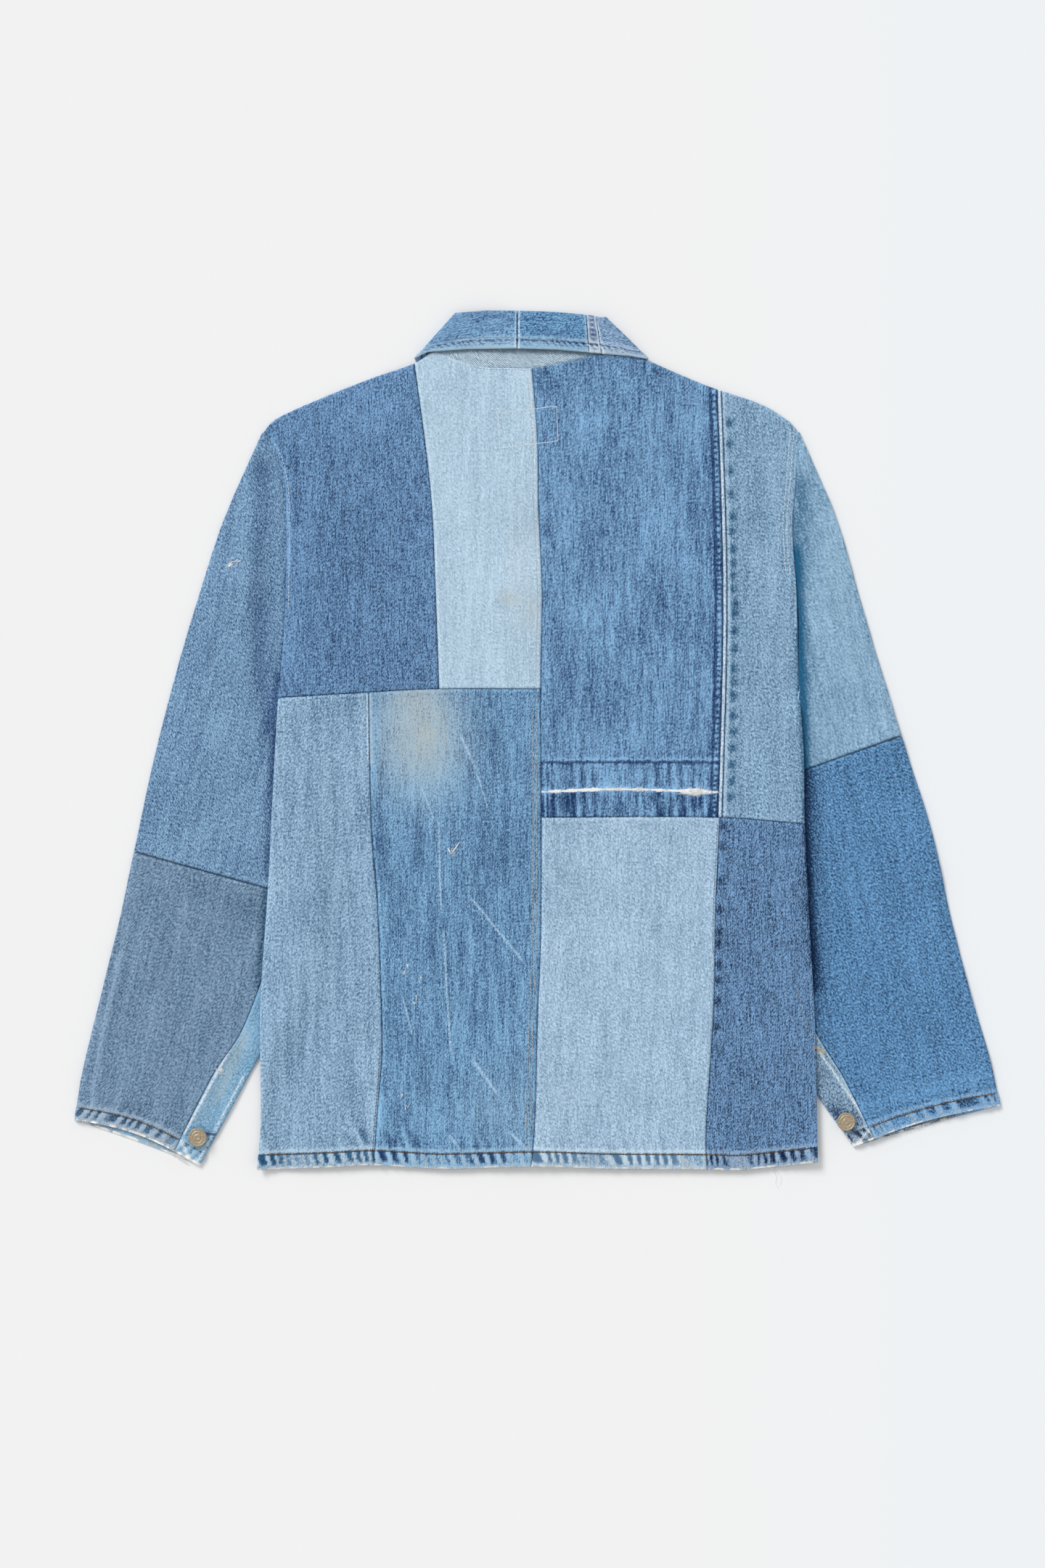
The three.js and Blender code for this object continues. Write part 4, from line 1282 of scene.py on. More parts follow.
@dataclass
class Front:
    """One front, underneath: a plain panel whose hem shows in its colour alone, not in its form.

    Attributes:
        node: The solid that it stands for.
        sides: Left and right edges, as x by y.
        height: Its underside.
        finish: Its denim.
        hem: Its hem.
    """

    node: str
    sides: tuple[Curve, Curve]
    height: Callable[[Array, Array], Array]
    finish: Denim
    hem: Hem
    SHORT = 2.0

    def build(self) -> bpy.types.Object:
        """Makes the front.

        Returns:
            The front.
        """

        def foot(x: Array) -> Array:
            """The front's foot, a little short of the back's."""
            return Outline.hem(x) + self.SHORT

        rows = ((0.0, 14.0, 2.5), (380.0, 470.0, 3.5))
        grid = Panel(self.node, self.sides, (foot, Outline.front_top), self.finish, step=4.5, close=rows)
        x, y = grid.plan()
        paint = Paint.blank(x, y)
        self.hem.lay(paint, x, y - foot(x))
        paint.rise[:] = 0.0
        outer = np.stack([x, y, self.height(x, y)], axis=-1)
        out = np.zeros_like(outer)
        out[..., 2] = -1.0
        return put_on(self.node, self.finish, outer, out, paint)


# Sleeves


class Spline:
    """A smooth run through points, at equal stations."""

    def __init__(self, points: Sequence[Point]) -> None:
        """Keeps the points, with one added past each end."""
        body = np.array(points, float)
        self.points = np.vstack([2 * body[0] - body[1], body, 2 * body[-1] - body[-2]])

    def __call__(self, station: Array) -> Array:
        """The place at each station.

        Args:
            station: 0 at the first point, one more at each next.

        Returns:
            Places in plan, in a last axis of two.
        """
        station = np.asarray(station, float)
        k = np.clip(np.floor(station).astype(int), 0, len(self.points) - 4)
        t = (station - k)[..., None]
        p0, p1, p2, p3 = (self.points[k + i] for i in range(4))
        pairs = ((p0, p1), (p1, p2), (p2, p3))
        d0, d1, d2 = (np.linalg.norm(b - a, axis=-1, keepdims=True) ** 0.5 for a, b in pairs)
        start = ((p1 - p0) / d0 - (p2 - p0) / (d0 + d1) + (p2 - p1) / d1) * d1
        end = ((p2 - p1) / d1 - (p3 - p1) / (d1 + d2) + (p3 - p2) / d2) * d1
        square, cube = -3 * p1 + 3 * p2 - 2 * start - end, 2 * p1 - 2 * p2 + start + end
        return p1 + start * t + square * t**2 + cube * t**3


@dataclass
class SleevePiece:
    """One piece of a sleeve.

    Attributes:
        node: The solid that it stands for.
        stations: From and to, along the sleeve.
        under: True for the under-sleeve, False for the top sleeve.
        finish: Its denim.
        hem: Its cuff's hem, if it reaches the cuff.
        marks: What is on it.
    """

    node: str
    stations: tuple[float, float]
    under: bool
    finish: Denim
    hem: Optional[Hem] = None
    marks: tuple[Mark, ...] = ()


@dataclass
class Sleeve:
    """A flattened sleeve.

    Attributes:
        ends: Outer and inner fold at each station, armhole to cuff.
        armhole: The body's edge, as x by y.
        side: -1 for the left, 1 for the right.
        strip: Where the under-sleeve starts, as a share of the width, by station.
        hollow: How far the upper hem draws up between the folds.
        pieces: Its pieces.
    """

    ends: Sequence[tuple[Point, Point]]
    armhole: Curve
    side: int
    strip: Line
    hollow: float
    pieces: Sequence[SleevePiece]
    SEAM_BELOW = 0.3
    CUFF_BELOW = 0.2
    LOFT_STATIONS = 1.5
    ARMHOLE_FADE = 4.0
    ROW_STEP = 3.0
    HEM_SPAN = 17.0
    HEM_STEP = 1.4
    RIPPLES = ((0.32, 70, 21), (0.14, 27, 22))

    def __post_init__(self) -> None:
        """Makes the two folds' runs."""
        self.outer = Spline([outer for outer, _ in self.ends])
        self.inner = Spline([inner for _, inner in self.ends])
        self.last = len(self.ends) - 1

    def plan(self, s: Array, u: Array, hollow: float = 0.0) -> Array:
        """Places in plan.

        Args:
            s: Stations.
            u: Share of the width, from the outer to the inner fold.
            hollow: How far the hem draws up.

        Returns:
            Places in plan, in a last axis of two.
        """
        s, u = np.broadcast_arrays(s, u)
        place = self.outer(s) + (self.inner(s) - self.outer(s)) * u[..., None]
        first, second = self.ends[0]
        y = first[1] + (second[1] - first[1]) * u
        bow = self.armhole(y) + self.side * CURVED_SEAM - first[0] - (second[0] - first[0]) * u
        place[..., 0] += bow * np.maximum(0, 1 - s / self.ARMHOLE_FADE) ** 2
        place[..., 1] += hollow * np.sin(np.pi * u) * ease(s - self.last + 1)
        return place

    def section(self, piece: SleevePiece, s: Array) -> tuple[Array, Array, Array]:
        """Outer face of a piece.

        Args:
            piece: The piece.
            s: Its stations, as a column.

        Returns:
            Places, outward directions, and the share of the width of each place.
        """
        radius = TUBE_EDGE / 2
        end = 1 if piece.under else 0
        width = np.linalg.norm(self.outer(s) - self.inner(s), axis=-1)
        near = (radius + HALF) / width
        gap = SEAM / 2 / width
        strip = self.strip(s)
        if piece.under:
            even = np.linspace(0, 1, 16)[None, :]
            low = (self.SEAM_BELOW + gap) + (1 - near - self.SEAM_BELOW - gap) * even
            fine = march(40.0, 2.2, ((36.0, 40.0, 0.7),))
            high = (1 - near) + (strip + gap - 1 + near) * fine[None, :]
        else:
            fine = march(130.0, 2.4, ((0.0, 3.0, 0.8),))
            high = (strip - gap) + (near - strip + gap) * fine[None, :]
            low = near + (self.SEAM_BELOW - gap - near) * np.linspace(0, 1, 12)[None, :]
        top = self.plan(s, high, self.hollow)
        loft = SLEEVE_LOFT * (1 - (2 * high - 1) ** 4) * ease(s / self.LOFT_STATIONS)
        top_z = CLOTH + TUBE_EDGE + loft
        bottom = self.plan(s, low, self.hollow * self.CUFF_BELOW)
        away = self.outer(s) - self.inner(s)
        away = away / np.linalg.norm(away, axis=-1, keepdims=True) * (-1 if end else 1)
        core = self.plan(s, np.full_like(s, float(end))) - away * (radius + HALF)
        turn = np.linspace(0, np.pi, 9)[1:-1][None, :]
        round_xy = core + away * (np.sin(turn) * (radius + HALF))[..., None]
        round_z = HALF + radius + (radius + HALF) * np.cos(turn) + 0 * s
        up, down = np.zeros((*top.shape[:2], 3)), np.zeros((*bottom.shape[:2], 3))
        up[..., 2], down[..., 2] = 1.0, -1.0
        level = np.broadcast_to(np.cos(turn)[..., None], (*round_xy.shape[:2], 1))
        side = np.concatenate([away * np.sin(turn)[..., None], level], -1)
        upper = np.concatenate([top, top_z[..., None]], -1)
        fold = np.concatenate([round_xy, round_z[..., None]], -1)
        lower = np.concatenate([bottom, np.zeros((*bottom.shape[:2], 1))], -1)
        share_fold = np.full(round_xy.shape[:2], float(end))
        if piece.under:
            order = ((lower, down, low), (fold[:, ::-1], side[:, ::-1], share_fold), (upper, up, high))
        else:
            order = ((upper, up, high), (fold, side, share_fold), (lower, down, low))
        return tuple(np.concatenate(parts, 1) for parts in zip(*order))

    def build(self) -> list[bpy.types.Object]:
        """Makes the sleeve's pieces."""
        return [self.build_piece(piece) for piece in self.pieces]

    def build_piece(self, piece: SleevePiece) -> bpy.types.Object:
        """Makes one piece.

        Args:
            piece: The piece.

        Returns:
            Its sheet.
        """
        start, stop = piece.stations
        dense = np.linspace(start, stop, 400)
        middle = self.plan(dense, np.full_like(dense, 0.4))
        run = travelled(middle)
        long = run[-1]
        close = [*close_ends(long, 0.8)]
        if piece.hem:
            close.append((long - self.HEM_SPAN, long, self.HEM_STEP))
        places = march(long, self.ROW_STEP, close) * long
        s = np.interp(places, run, dense)[:, None]
        outer, out, share = self.section(piece, s)
        x, y = outer[..., 0], outer[..., 1]
        along, across = travelled(outer), travelled(outer, 1)
        paint = Paint.blank(x, y)
        axis = self.plan(np.array(self.last - 1.0), np.array(0.5)) - self.plan(np.array(1.0), np.array(0.5))
        axis /= np.linalg.norm(axis)
        paint.cloth = np.stack([axis[0] * y - axis[1] * x, -axis[0] * x - axis[1] * y, outer[..., 2]], -1)
        up = np.clip(out[..., 2], 0, 1)
        paint.add(x, y, (*SLEEVE_FOLDS, *piece.marks))
        paint.rise += unevenness(x, y, self.RIPPLES)
        if start == 0.0:
            # The sleeve dips under the body's edge at the armhole, and is painted darker there: painted shade.
            paint.rise -= 1.1 * hump(along, 5.0)
            paint.wear_and_shade -= 0.10 * hump(along, 6.0)
        elif not piece.under:
            seam_dip(paint, along, 0.08)
        off = along[-1:] - along
        if piece.hem:
            piece.hem.lay(paint, across, off)
        else:
            seam_dip(paint, off, 0.08)
        width = np.linalg.norm(self.outer(s) - self.inner(s), axis=-1)
        edge = np.abs(share - self.strip(s)) * width
        if piece.under:
            paint.rise += 0.5 * hump(edge, 6.0)
            paint.wear_and_shade += 0.45 * hump(edge - 0.8, 1.4)
        else:
            seam_dip(paint, edge, 0.22)
        paint.rise *= up
        return put_on(piece.node, piece.finish, outer, out, paint)


LEFT_PATCH = 5.0
RIGHT_PATCH = 4.0
CUFF = 9.0
CUFF_STITCH = 11.4
STATION_GAP = 0.005


def left_sleeve() -> Sleeve:
    """The left sleeve with its pieces."""
    ends = (
        ((TIP_LEFT, SHOULDER_Y), (-231.4, ARMPIT_Y)), ((-281, 198), (-230, 30)), ((-305, 125), (-225, 2)),
        ((-322.5, 66.5), (-213.5, -57)), ((-343.5, -14.5), (-208.5, -102.5)), ((-361.5, -98), (-208.5, -140)),
        ((-378.5, -177), (-216, -200)), ((-397, -252), (-239.5, -261.5)), ((-407, -294), (-261.5, -304.5)),
        ((-415, -338.5), (-302.5, -379.5)),
    )
    cuff = Hem(12.0, 10.0, 0.2, 17, 0.55, fray=1.0, tone=0.3)
    pieces = (
        SleevePiece(
            "sleeve_left_upper", (0.0, LEFT_PATCH - STATION_GAP), False,
            Denim(
                (12, 48, 101), (159, 200, 231), 0.47, Twill.LEFT, slub=0.6, speck=2.7, cloud=0.5, shift=11.0,
                strength=0.87,
            ),
            marks=(
                # A crease beside the body's left edge, painted darker as shade over its real dip, and a fold
                # ridge a little paler, partly wear and partly painted highlight.
                Mark(((-246, 245), (-250, 170), (-250, 90), (-242, 10)), 8, wear_and_shade=-0.28, rise=-1.0),
                Mark(((-258, 235), (-268, 120), (-285, 20)), 9, wear_and_shade=0.07, rise=0.5),
                Mark(((-320, 40), (-270, 0)), 16, wear_and_shade=0.04),
                Mark(((-295, 120), (-320, 0)), 12, wear_and_shade=-0.05),
                # A painted shadow beside the body's left edge.
                painted_shadow(Outline.body_left, 60, -120, -1.5, 3.6, -0.45),
            ),
        ),
        SleevePiece(
            "sleeve_left_lower", (LEFT_PATCH + STATION_GAP, CUFF), False,
            Denim(
                (11, 61, 93), (158, 186, 214), 0.48, Twill.RIGHT, slub=0.6, speck=2.4, cloud=0.3, shift=12.0,
                strength=0.92,
            ),
            cuff,
            marks=(
                Mark(
                    ((-374, -190), (-379, -215), (-388, -255), (-396, -300), (-400, -330)), 2.4, wear_and_shade=0.42,
                    rise=0.7,
                ),
                Mark(((-398, -250), (-410, -310)), 4.0, wear_and_shade=0.18),
                Mark(((-372, -200), (-390, -300)), 7.0, wear_and_shade=-0.07),
                # A painted shadow beside the body's left edge.
                painted_shadow(Outline.body_left, -60, -220, -1.5, 3.6, -0.45),
                Mark(((-310, -130), (-262, -148)), 13, wear_and_shade=-0.12),
            ),
        ),
        SleevePiece(
            "sleeve_left_under", (0.0, CUFF), True,
            Denim((79, 121, 153), (155, 201, 233), 0.50, Twill.RIGHT, slub=0.6, cloud=0.5, shift=13.0),
            Hem(depth=12.0, seed=19, force=0.4, slant=0.2, fray=1.2, tone=0.3),
            marks=(
                Mark(((-261, -262),), 9, 14, wear_and_shade=0.40),
                Mark(((-262, -262), (-285, -318)), 5, soil=0.20),
                Mark(((-298, -350), (-285, -352)), 3.0, wear_and_shade=-0.5),
                Mark(((-242, -290), (-275, -345), (-300, -375)), 7, wear_and_shade=-0.16),
                Mark(((-262, -249), (-316, -350)), 1.7, wear_and_shade=0.50, bare=0.62),
                Mark(((-262, -297), (-295, -359), (-306, -378)), 1.8, wear_and_shade=0.45, bare=0.55),
                Mark(((-319, -357), (-308, -380)), 2.4, wear_and_shade=0.50, bare=0.62),
                Mark(((-265, -270), (-300, -335)), 9, soil=0.12),
            ),
        ),
    )
    strip = Line((0, 0.96), (5, 0.95), (6, 0.85), (7, 0.835), (8, 0.785), (9, 0.8))
    return Sleeve(ends, Outline.side_left, -1, strip, 8.0, pieces)


def right_sleeve() -> Sleeve:
    """The right sleeve with its pieces."""
    ends = (
        ((TIP_RIGHT, SHOULDER_Y + 1), (234.8, ARMPIT_Y)), ((268, 199), (231.5, 30)), ((289, 128), (228, 2)),
        ((304, 78), (224.5, -19)), ((326, 6), (220.5, -31.5)), ((352.5, -76.5), (211.5, -96)),
        ((370, -154.5), (210.5, -174)), ((388.5, -226), (220.5, -252)), ((404, -278), (247.5, -310.5)),
        ((415, -325.5), (283, -362.5)),
    )
    cuff = Hem(12.0, 13.0, 0.1, 23, 0.40, fray=0.6, tone=0.3)
    pieces = (
        SleevePiece(
            "sleeve_right_upper", (0.0, RIGHT_PATCH - STATION_GAP), False,
            Denim(
                (15, 84, 122), (186, 220, 245), 0.48, Twill.LEFT, rib=1.2, slub=0.8, speck=1.8, shift=15.0,
                strength=0.94,
            ),
            marks=(
                # A broad band painted darker beside the body's right edge, over a real dip in the cloth:
                # painted shadow.
                Mark(((236, 230), (233, 120), (236, 30), (239, -70)), 11, wear_and_shade=-0.34, rise=-0.6),
                Mark(((262, 190), (285, 60)), 10, wear_and_shade=0.08),
                # A painted shadow right at the body's edge.
                painted_shadow(Outline.body_right, 170, -70, 1.5, 4.6, -0.8),
            ),
        ),
        SleevePiece(
            "sleeve_right_lower", (RIGHT_PATCH + STATION_GAP, CUFF), False,
            Denim((8, 32, 68), (127, 184, 235), 0.43, Twill.LEFT, slub=0.5, cloud=0.25, shift=16.0), cuff,
            marks=(
                # A broad band painted darker beside the body's right edge: painted shadow.
                Mark(((239, -20), (243, -150), (249, -275)), 12, wear_and_shade=-0.36),
                Mark(((330, -60), (360, -200)), 14, wear_and_shade=0.05),
                # A painted shadow right at the body's edge.
                painted_shadow(Outline.body_right, -20, -220, 1.5, 4.2, -0.7),
                Mark(((275, -330), (400, -300)), 8, wear_and_shade=0.16),
                Mark(((290, -292), (345, -318)), 12, wear_and_shade=0.06),
            ),
        ),
        SleevePiece(
            "sleeve_right_under", (0.0, CUFF), True,
            Denim((10, 40, 84), (165, 198, 223), 0.50, Twill.RIGHT, slub=0.7, cloud=0.7, shift=17.0),
            Hem(depth=12.0, seed=29, force=0.5, slant=-0.2, fray=0.9, tone=0.1),
            marks=(
                Mark(((265, -329), (285, -351)), 4.5, wear_and_shade=-0.40),
                Mark(((268, -300), (280, -325)), 5, wear_and_shade=0.14),
                # Painted shade where the under-sleeve shows below the top cuff's edge.
                Mark(((300, -358), (350, -344), (395, -332)), 9, wear_and_shade=-0.75),
                Mark(((250, -273), (297, -342)), 1.6, wear_and_shade=0.55, bare=0.55),
                Mark(((249, -317), (283, -361)), 1.6, wear_and_shade=0.50, bare=0.55),
                Mark(((285, -361), (299, -345)), 2.2, wear_and_shade=0.55, bare=0.55),
            ),
        ),
    )
    strip = Line((0, 0.97), (4, 0.97), (6, 0.88), (7, 0.86), (8, 0.815), (9, 0.86))
    return Sleeve(ends, Outline.side_right, 1, strip, 5.0, pieces)


# The collar


@dataclass(frozen=True)
class Station:
    """One station of the collar.

    Attributes:
        foot: Where the stand meets the neck.
        roll: The roll line.
        edge: The fall's free edge.
        turn: From the fronts, 0, to the back, 1.
        droop: How far the roll line sinks.
    """

    foot: float
    roll: Point
    edge: Point
    turn: float
    droop: float = 0.0


@dataclass(frozen=True)
class CollarPiece:
    """One piece of the collar.

    Attributes:
        node: The solid that it stands for.
        stations: From and to.
        finish: Its cloth.
        stand: True for the stand, False for the fall.
        lift: How far an old seam lifts it.
    """

    node: str
    stations: tuple[float, float]
    finish: Denim
    stand: bool = False
    lift: float = 0.0


@dataclass
class Collar:
    """The turned-down collar, round the neck from the left front to the right front."""

    edge: Hem = field(default_factory=lambda: Hem(8.5, 6.0, 0.6, 37, 0.34, 0.5, 0.2, 0.24))
    DROOP = 3.2
    LIFT = 1.5
    TUCK = 1.3
    TUCK_OVER = -1.9
    GAP = 0.006
    CREEP = 0.004
    STEP = 1.8
    BAND_STEP = 0.9
    JOIN_LEFT = 8.0
    BAND_LEFT = 10.0
    BAND_RIGHT = 11.0
    END = 18

    def stations(self) -> list[Station]:
        """The collar's stations, left front first."""
        left, right = NECK_LEFT, NECK_RIGHT - CURVED_SEAM
        turned = [Station(left, (-70.5, 383), (-108, 341.5), turn) for turn in (0.25, 0.5, 0.75)]
        back = [Station(right, (58, 379), (97, 341), turn) for turn in (0.75, 0.5, 0.25)]
        return [
            Station(-30, (-14, 296), (-56, 240), 0), Station(-66, (-46, 332), (-84, 290), 0),
            Station(-88, (-66, 372), (-104, 332), 0), *turned, Station(-87, (-64, 385), (-98, 349), 1),
            Station(-64, (-46, 386.5), (-64, 351.5), 1, 0.25), Station(-18, (-18, 386.5), (-18, 352), 1, 1),
            Station(15, (17, 385.5), (16, 351), 1, 1), Station(44, (44, 382.5), (46.5, 348.5), 1, 0.4),
            Station(54, (52, 381), (57, 347.5), 1, 0.15), Station(80, (55.5, 380.3), (82, 345.5), 1), *back,
            Station(86, (55, 368), (94, 330), 0), Station(60, (40, 332), (78, 290), 0),
            Station(24, (8, 296), (50, 240), 0),
        ]

    def frame(self, s: Array) -> dict[str, Array]:
        """Lines of the collar at each station.

        Args:
            s: Stations.

        Returns:
            Foot, roll and edge places, the direction up the fall, and the outward direction.
        """
        table = np.array([(q.foot, *q.roll, *q.edge, q.turn, q.droop) for q in self.stations()])
        foot_x, roll_x, roll_y, edge_x, edge_y, turn, droop = (
            np.interp(s, np.arange(len(table)), column) for column in table.T
        )
        front = COLLAR_FOLD + HALF
        middle = front + TUBE_EDGE / 2
        turn = np.pi * turn
        at_front = turn < np.pi / 2

        def neck(x: Array) -> Array:
            """The neck's edge, on the fronts or on the back."""
            return np.where(at_front, Outline.front_neck(x), Outline.top(x))

        fall = (neck(foot_x - SEAM) - neck(foot_x + SEAM)) / (2 * SEAM)
        lean = CURVED_SEAM / np.hypot(fall, 1)
        flat = np.full_like(foot_x, middle)
        foot = np.stack([foot_x + fall * lean, neck(foot_x) + lean, flat], -1)
        roll = np.stack([roll_x, roll_y, flat], -1)
        edge = np.stack([edge_x, edge_y, flat], -1)
        up = roll - edge
        up /= np.linalg.norm(up, axis=-1, keepdims=True)
        hand = np.where(s < self.END / 2, 1.0, -1.0)
        out = np.stack([-up[:, 1] * hand * np.sin(turn), up[:, 0] * hand * np.sin(turn), -np.cos(turn)], -1)
        roll = roll - up * (COLLAR_FOLD / 2 + HALF)
        roll[:, 2] = middle - self.DROOP * droop
        edge[:, 2] = middle + self.LIFT * droop
        return {"foot": foot, "roll": roll, "edge": edge, "up": up, "out": out}

    def fall(self, s: Array) -> tuple[Array, Array]:
        """Outer face of the fall, from its free edge over the roll.

        Args:
            s: Stations.

        Returns:
            Places and outward directions.
        """
        f = self.frame(s)
        radius, half = COLLAR_FOLD / 2, TUBE_EDGE / 2
        out, up = f["out"][:, None, :], f["up"][:, None, :]
        t = march(36.0, 1.1, ((0.0, 11.0, 0.9),))[None, :, None]
        flat = f["edge"][:, None, :] * (1 - t) + f["roll"][:, None, :] * t + out * (half + COLLAR_FOLD + HALF)
        core = f["roll"][:, None, :] + out * (half + radius)
        turn = np.linspace(0, np.pi, 9)[1:][None, :, None]
        way = out * np.cos(turn) + up * np.sin(turn)
        rolled = core + way * (radius + HALF)
        return np.concatenate([flat, rolled], 1), np.concatenate([out + 0 * flat, way], 1)

    def stand(self, s: Array) -> tuple[Array, Array]:
        """Outer face of the stand, from the neck up.

        Args:
            s: Stations.

        Returns:
            Places and outward directions.
        """
        f = self.frame(s)
        out = f["out"][:, None, :]
        top = (f["roll"] - f["up"] * CURVED_SEAM)[:, None, :]
        t = np.linspace(0, 1, 22)[None, :, None] ** 1.5
        under = out * self.TUCK * (1 - t) ** 12 - f["up"][:, None, :] * self.TUCK_OVER * (1 - t)
        face = f["foot"][:, None, :] * (1 - t) + top * t + out * (TUBE_EDGE / 2 + HALF) - under
        return face, out + 0 * face

    def pieces(self) -> list[CollarPiece]:
        """The collar's pieces."""
        gap, join, left, right = self.GAP, self.JOIN_LEFT, self.BAND_LEFT, self.BAND_RIGHT
        return [
            CollarPiece(
                "collar_left", (0, join - gap), Denim((13, 54, 111), (153, 199, 233), 0.47, shift=21.0),
            ),
            CollarPiece(
                "collar_centre", (join + gap, left - gap),
                Denim((13, 49, 104), (137, 189, 227), 0.46, shift=22.0),
            ),
            CollarPiece(
                "collar_seam_band", (left + gap, right - gap),
                Denim((14, 54, 113), (202, 222, 238), 0.5, rib=1.0, slub=0.6, speck=1.4, shift=23.0),
                False, 0.6,
            ),
            CollarPiece(
                "collar_right", (right + gap, self.END),
                Denim((15, 72, 123), (172, 201, 230), 0.48, shift=24.0),
            ),
            CollarPiece(
                "collar_stand", (0, self.END),
                Denim(
                    (105, 131, 149), (214, 233, 247), 0.50, Twill.LEFT, 1.6, 0.4, 1.4, 0.2, 0.4, 4.0, 0.6,
                    shift=25.0,
                ),
                True,
            ),
        ]

    def build(self) -> list[bpy.types.Object]:
        """Makes the collar's pieces."""
        return [self.build_piece(piece) for piece in self.pieces()]

    def build_piece(self, piece: CollarPiece) -> bpy.types.Object:
        """Makes one piece.

        Args:
            piece: The piece.

        Returns:
            Its sheet.
        """
        start, stop = piece.stations
        dense = np.linspace(start, stop, 900)
        line = self.frame(dense)["edge"] * 0.5 + self.frame(dense)["roll"] * 0.5
        run = np.concatenate([[0.0], np.cumsum(np.linalg.norm(np.diff(line, axis=0), axis=1) + self.CREEP)])
        long = run[-1]
        widest = self.BAND_STEP if piece.lift else self.STEP
        places = march(long, widest, close_ends(long)) * long
        s = np.interp(places, run, dense)
        outer, out = (self.stand if piece.stand else self.fall)(s)
        x, y = outer[..., 0], outer[..., 1]
        along = np.broadcast_to(places[:, None], x.shape)
        across = travelled(outer, 1)
        paint = Paint.blank(x, y)
        paint.cloth = np.stack([across, along, np.zeros_like(x)], -1)
        if piece.stand:
            # The top of the stand, under the fall, is painted darker, most of all just below the fall's edge:
            # painted shadow of the fall.
            covered = self.frame(s)["edge"][:, None, 1] - y
            paint.wear_and_shade -= 0.20 * ease((across - 12) / 14) + 0.9 * hump(np.maximum(covered - 0.5, 0), 1.6)
        else:
            if piece.lift:
                rung = ease(1.5 * np.sin(2 * np.pi * across / 4.4))
                middle = hump((along - long / 2) / (long / 2), 0.55)
                paint.rise += piece.lift
                paint.wear_and_shade += (0.75 * rung - 0.5) * middle
                paint.wear_and_shade += 0.5 * hump(along - 0.8, 1.2) + 0.5 * hump(long - along - 0.8, 1.2)
            self.edge.lay(paint, x + y * 0.3, across)
            paint.rise -= roll_under(across, 1.2, 0.8)
            paint.wear_and_shade += 0.55 * hump(across - 1.4, 1.2)
            for off in (along, long - along):
                if not piece.lift:
                    seam_dip(paint, off, 0.50)
                    paint.bare += 0.55 * hump(off - 1.3, 0.9)
            paint.rise += 0.25 * Ripple(30, 45)(x, y) * ease(across / 6)
            paint.rise *= np.clip(out[..., 2], 0, 1) ** 0.5
        return put_on(piece.node, piece.finish, outer, out, paint)


# Buttons


@dataclass
class CuffButton:
    """A shank button with a stamped cap.

    Attributes:
        node: The solid that it stands for.
        finish: Its metal.
    """

    node: str
    finish: AgedMetal
    SIDES = 40
    WORN = 0.14
    SHARP = math.radians(28)
    ROUND = math.radians(40)
    PROFILE = (
        (4.5, 0.0), (4.5, 0.7), (2.6, 1.1), (2.6, 2.0), (7.6, 2.0), (8.2, 2.5), (8.2, 3.2), (7.8, 3.62),
        (7.2, 3.66), (6.9, 3.28), (5.9, 3.24), (5.5, 3.5), (4.9, 3.52), (4.5, 3.26), (3.0, 3.3), (2.6, 3.62),
        (1.9, 3.72), (1.5, 3.5), (0.9, 3.46),
    )

    def build(self) -> bpy.types.Object:
        """Models the button on its solid's place.

        Returns:
            The button.
        """
        low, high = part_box(self.node)
        centre = (low + high) / 2
        radius, level = self.PROFILE[0]
        bpy.ops.object.select_all(action="DESELECT")
        bpy.ops.mesh.primitive_circle_add(
            vertices=self.SIDES, radius=radius * MM, fill_type="NGON", location=(centre.x, centre.y, low.z)
        )
        button = bpy.context.active_object
        button.name = button.data.name = "button_" + self.node
        bpy.ops.object.transform_apply(location=True)
        bpy.ops.object.mode_set(mode="EDIT")
        bpy.ops.mesh.select_mode(type="FACE")
        bpy.ops.mesh.select_all(action="SELECT")
        for wide, tall in self.PROFILE[1:]:
            rise = (0.0, 0.0, (tall - level) * MM)
            bpy.ops.mesh.extrude_region_move(TRANSFORM_OT_translate={"value": rise})
            grow = wide / radius
            bpy.ops.transform.resize(
                value=(grow, grow, 1.0), center_override=(centre.x, centre.y, low.z + tall * MM)
            )
            radius, level = wide, tall
        bpy.ops.mesh.select_all(action="SELECT")
        bpy.ops.mesh.normals_make_consistent(inside=False)
        bpy.ops.object.mode_set(mode="OBJECT")
        round_edges = button.modifiers.new("worn_edges", "BEVEL")
        round_edges.width = self.WORN * MM
        round_edges.segments = 2
        round_edges.limit_method = "ANGLE"
        round_edges.angle_limit = self.SHARP
        bpy.ops.object.modifier_apply(modifier=round_edges.name)
        bpy.ops.object.shade_smooth_by_angle(angle=self.ROUND)
        button.data.materials.append(self.finish.material("metal_" + self.node))
        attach(button, BODY)
        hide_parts(self.node)
        LOG.info("%s: %d faces", button.name, len(button.data.polygons))
        return button


# Sewing and fray


class Surface:
    """The top of the laid cloth."""

    REACH = 0.05

    def __init__(self, sheets: Sequence[bpy.types.Object]) -> None:
        """Gathers the sheets' faces.

        Args:
            sheets: The cloth pieces.
        """
        points, faces, start = [], [], 0
        for sheet in sheets:
            mesh = sheet.data
            points.append(places_of(mesh))
            faces.extend([tuple(start + k for k in face.vertices) for face in mesh.polygons])
            start += len(mesh.vertices)
        self.tree = BVHTree.FromPolygons([tuple(map(float, p)) for p in np.vstack(points)], faces)

    def height(self, x: float, y: float) -> float:
        """Top of the cloth at a place in plan, in millimetres, or 0 off it."""
        hit = self.tree.ray_cast(Vector((x * MM, y * MM, self.REACH)), Vector((0, 0, -1)))[0]
        return 0.0 if hit is None else hit.z / MM


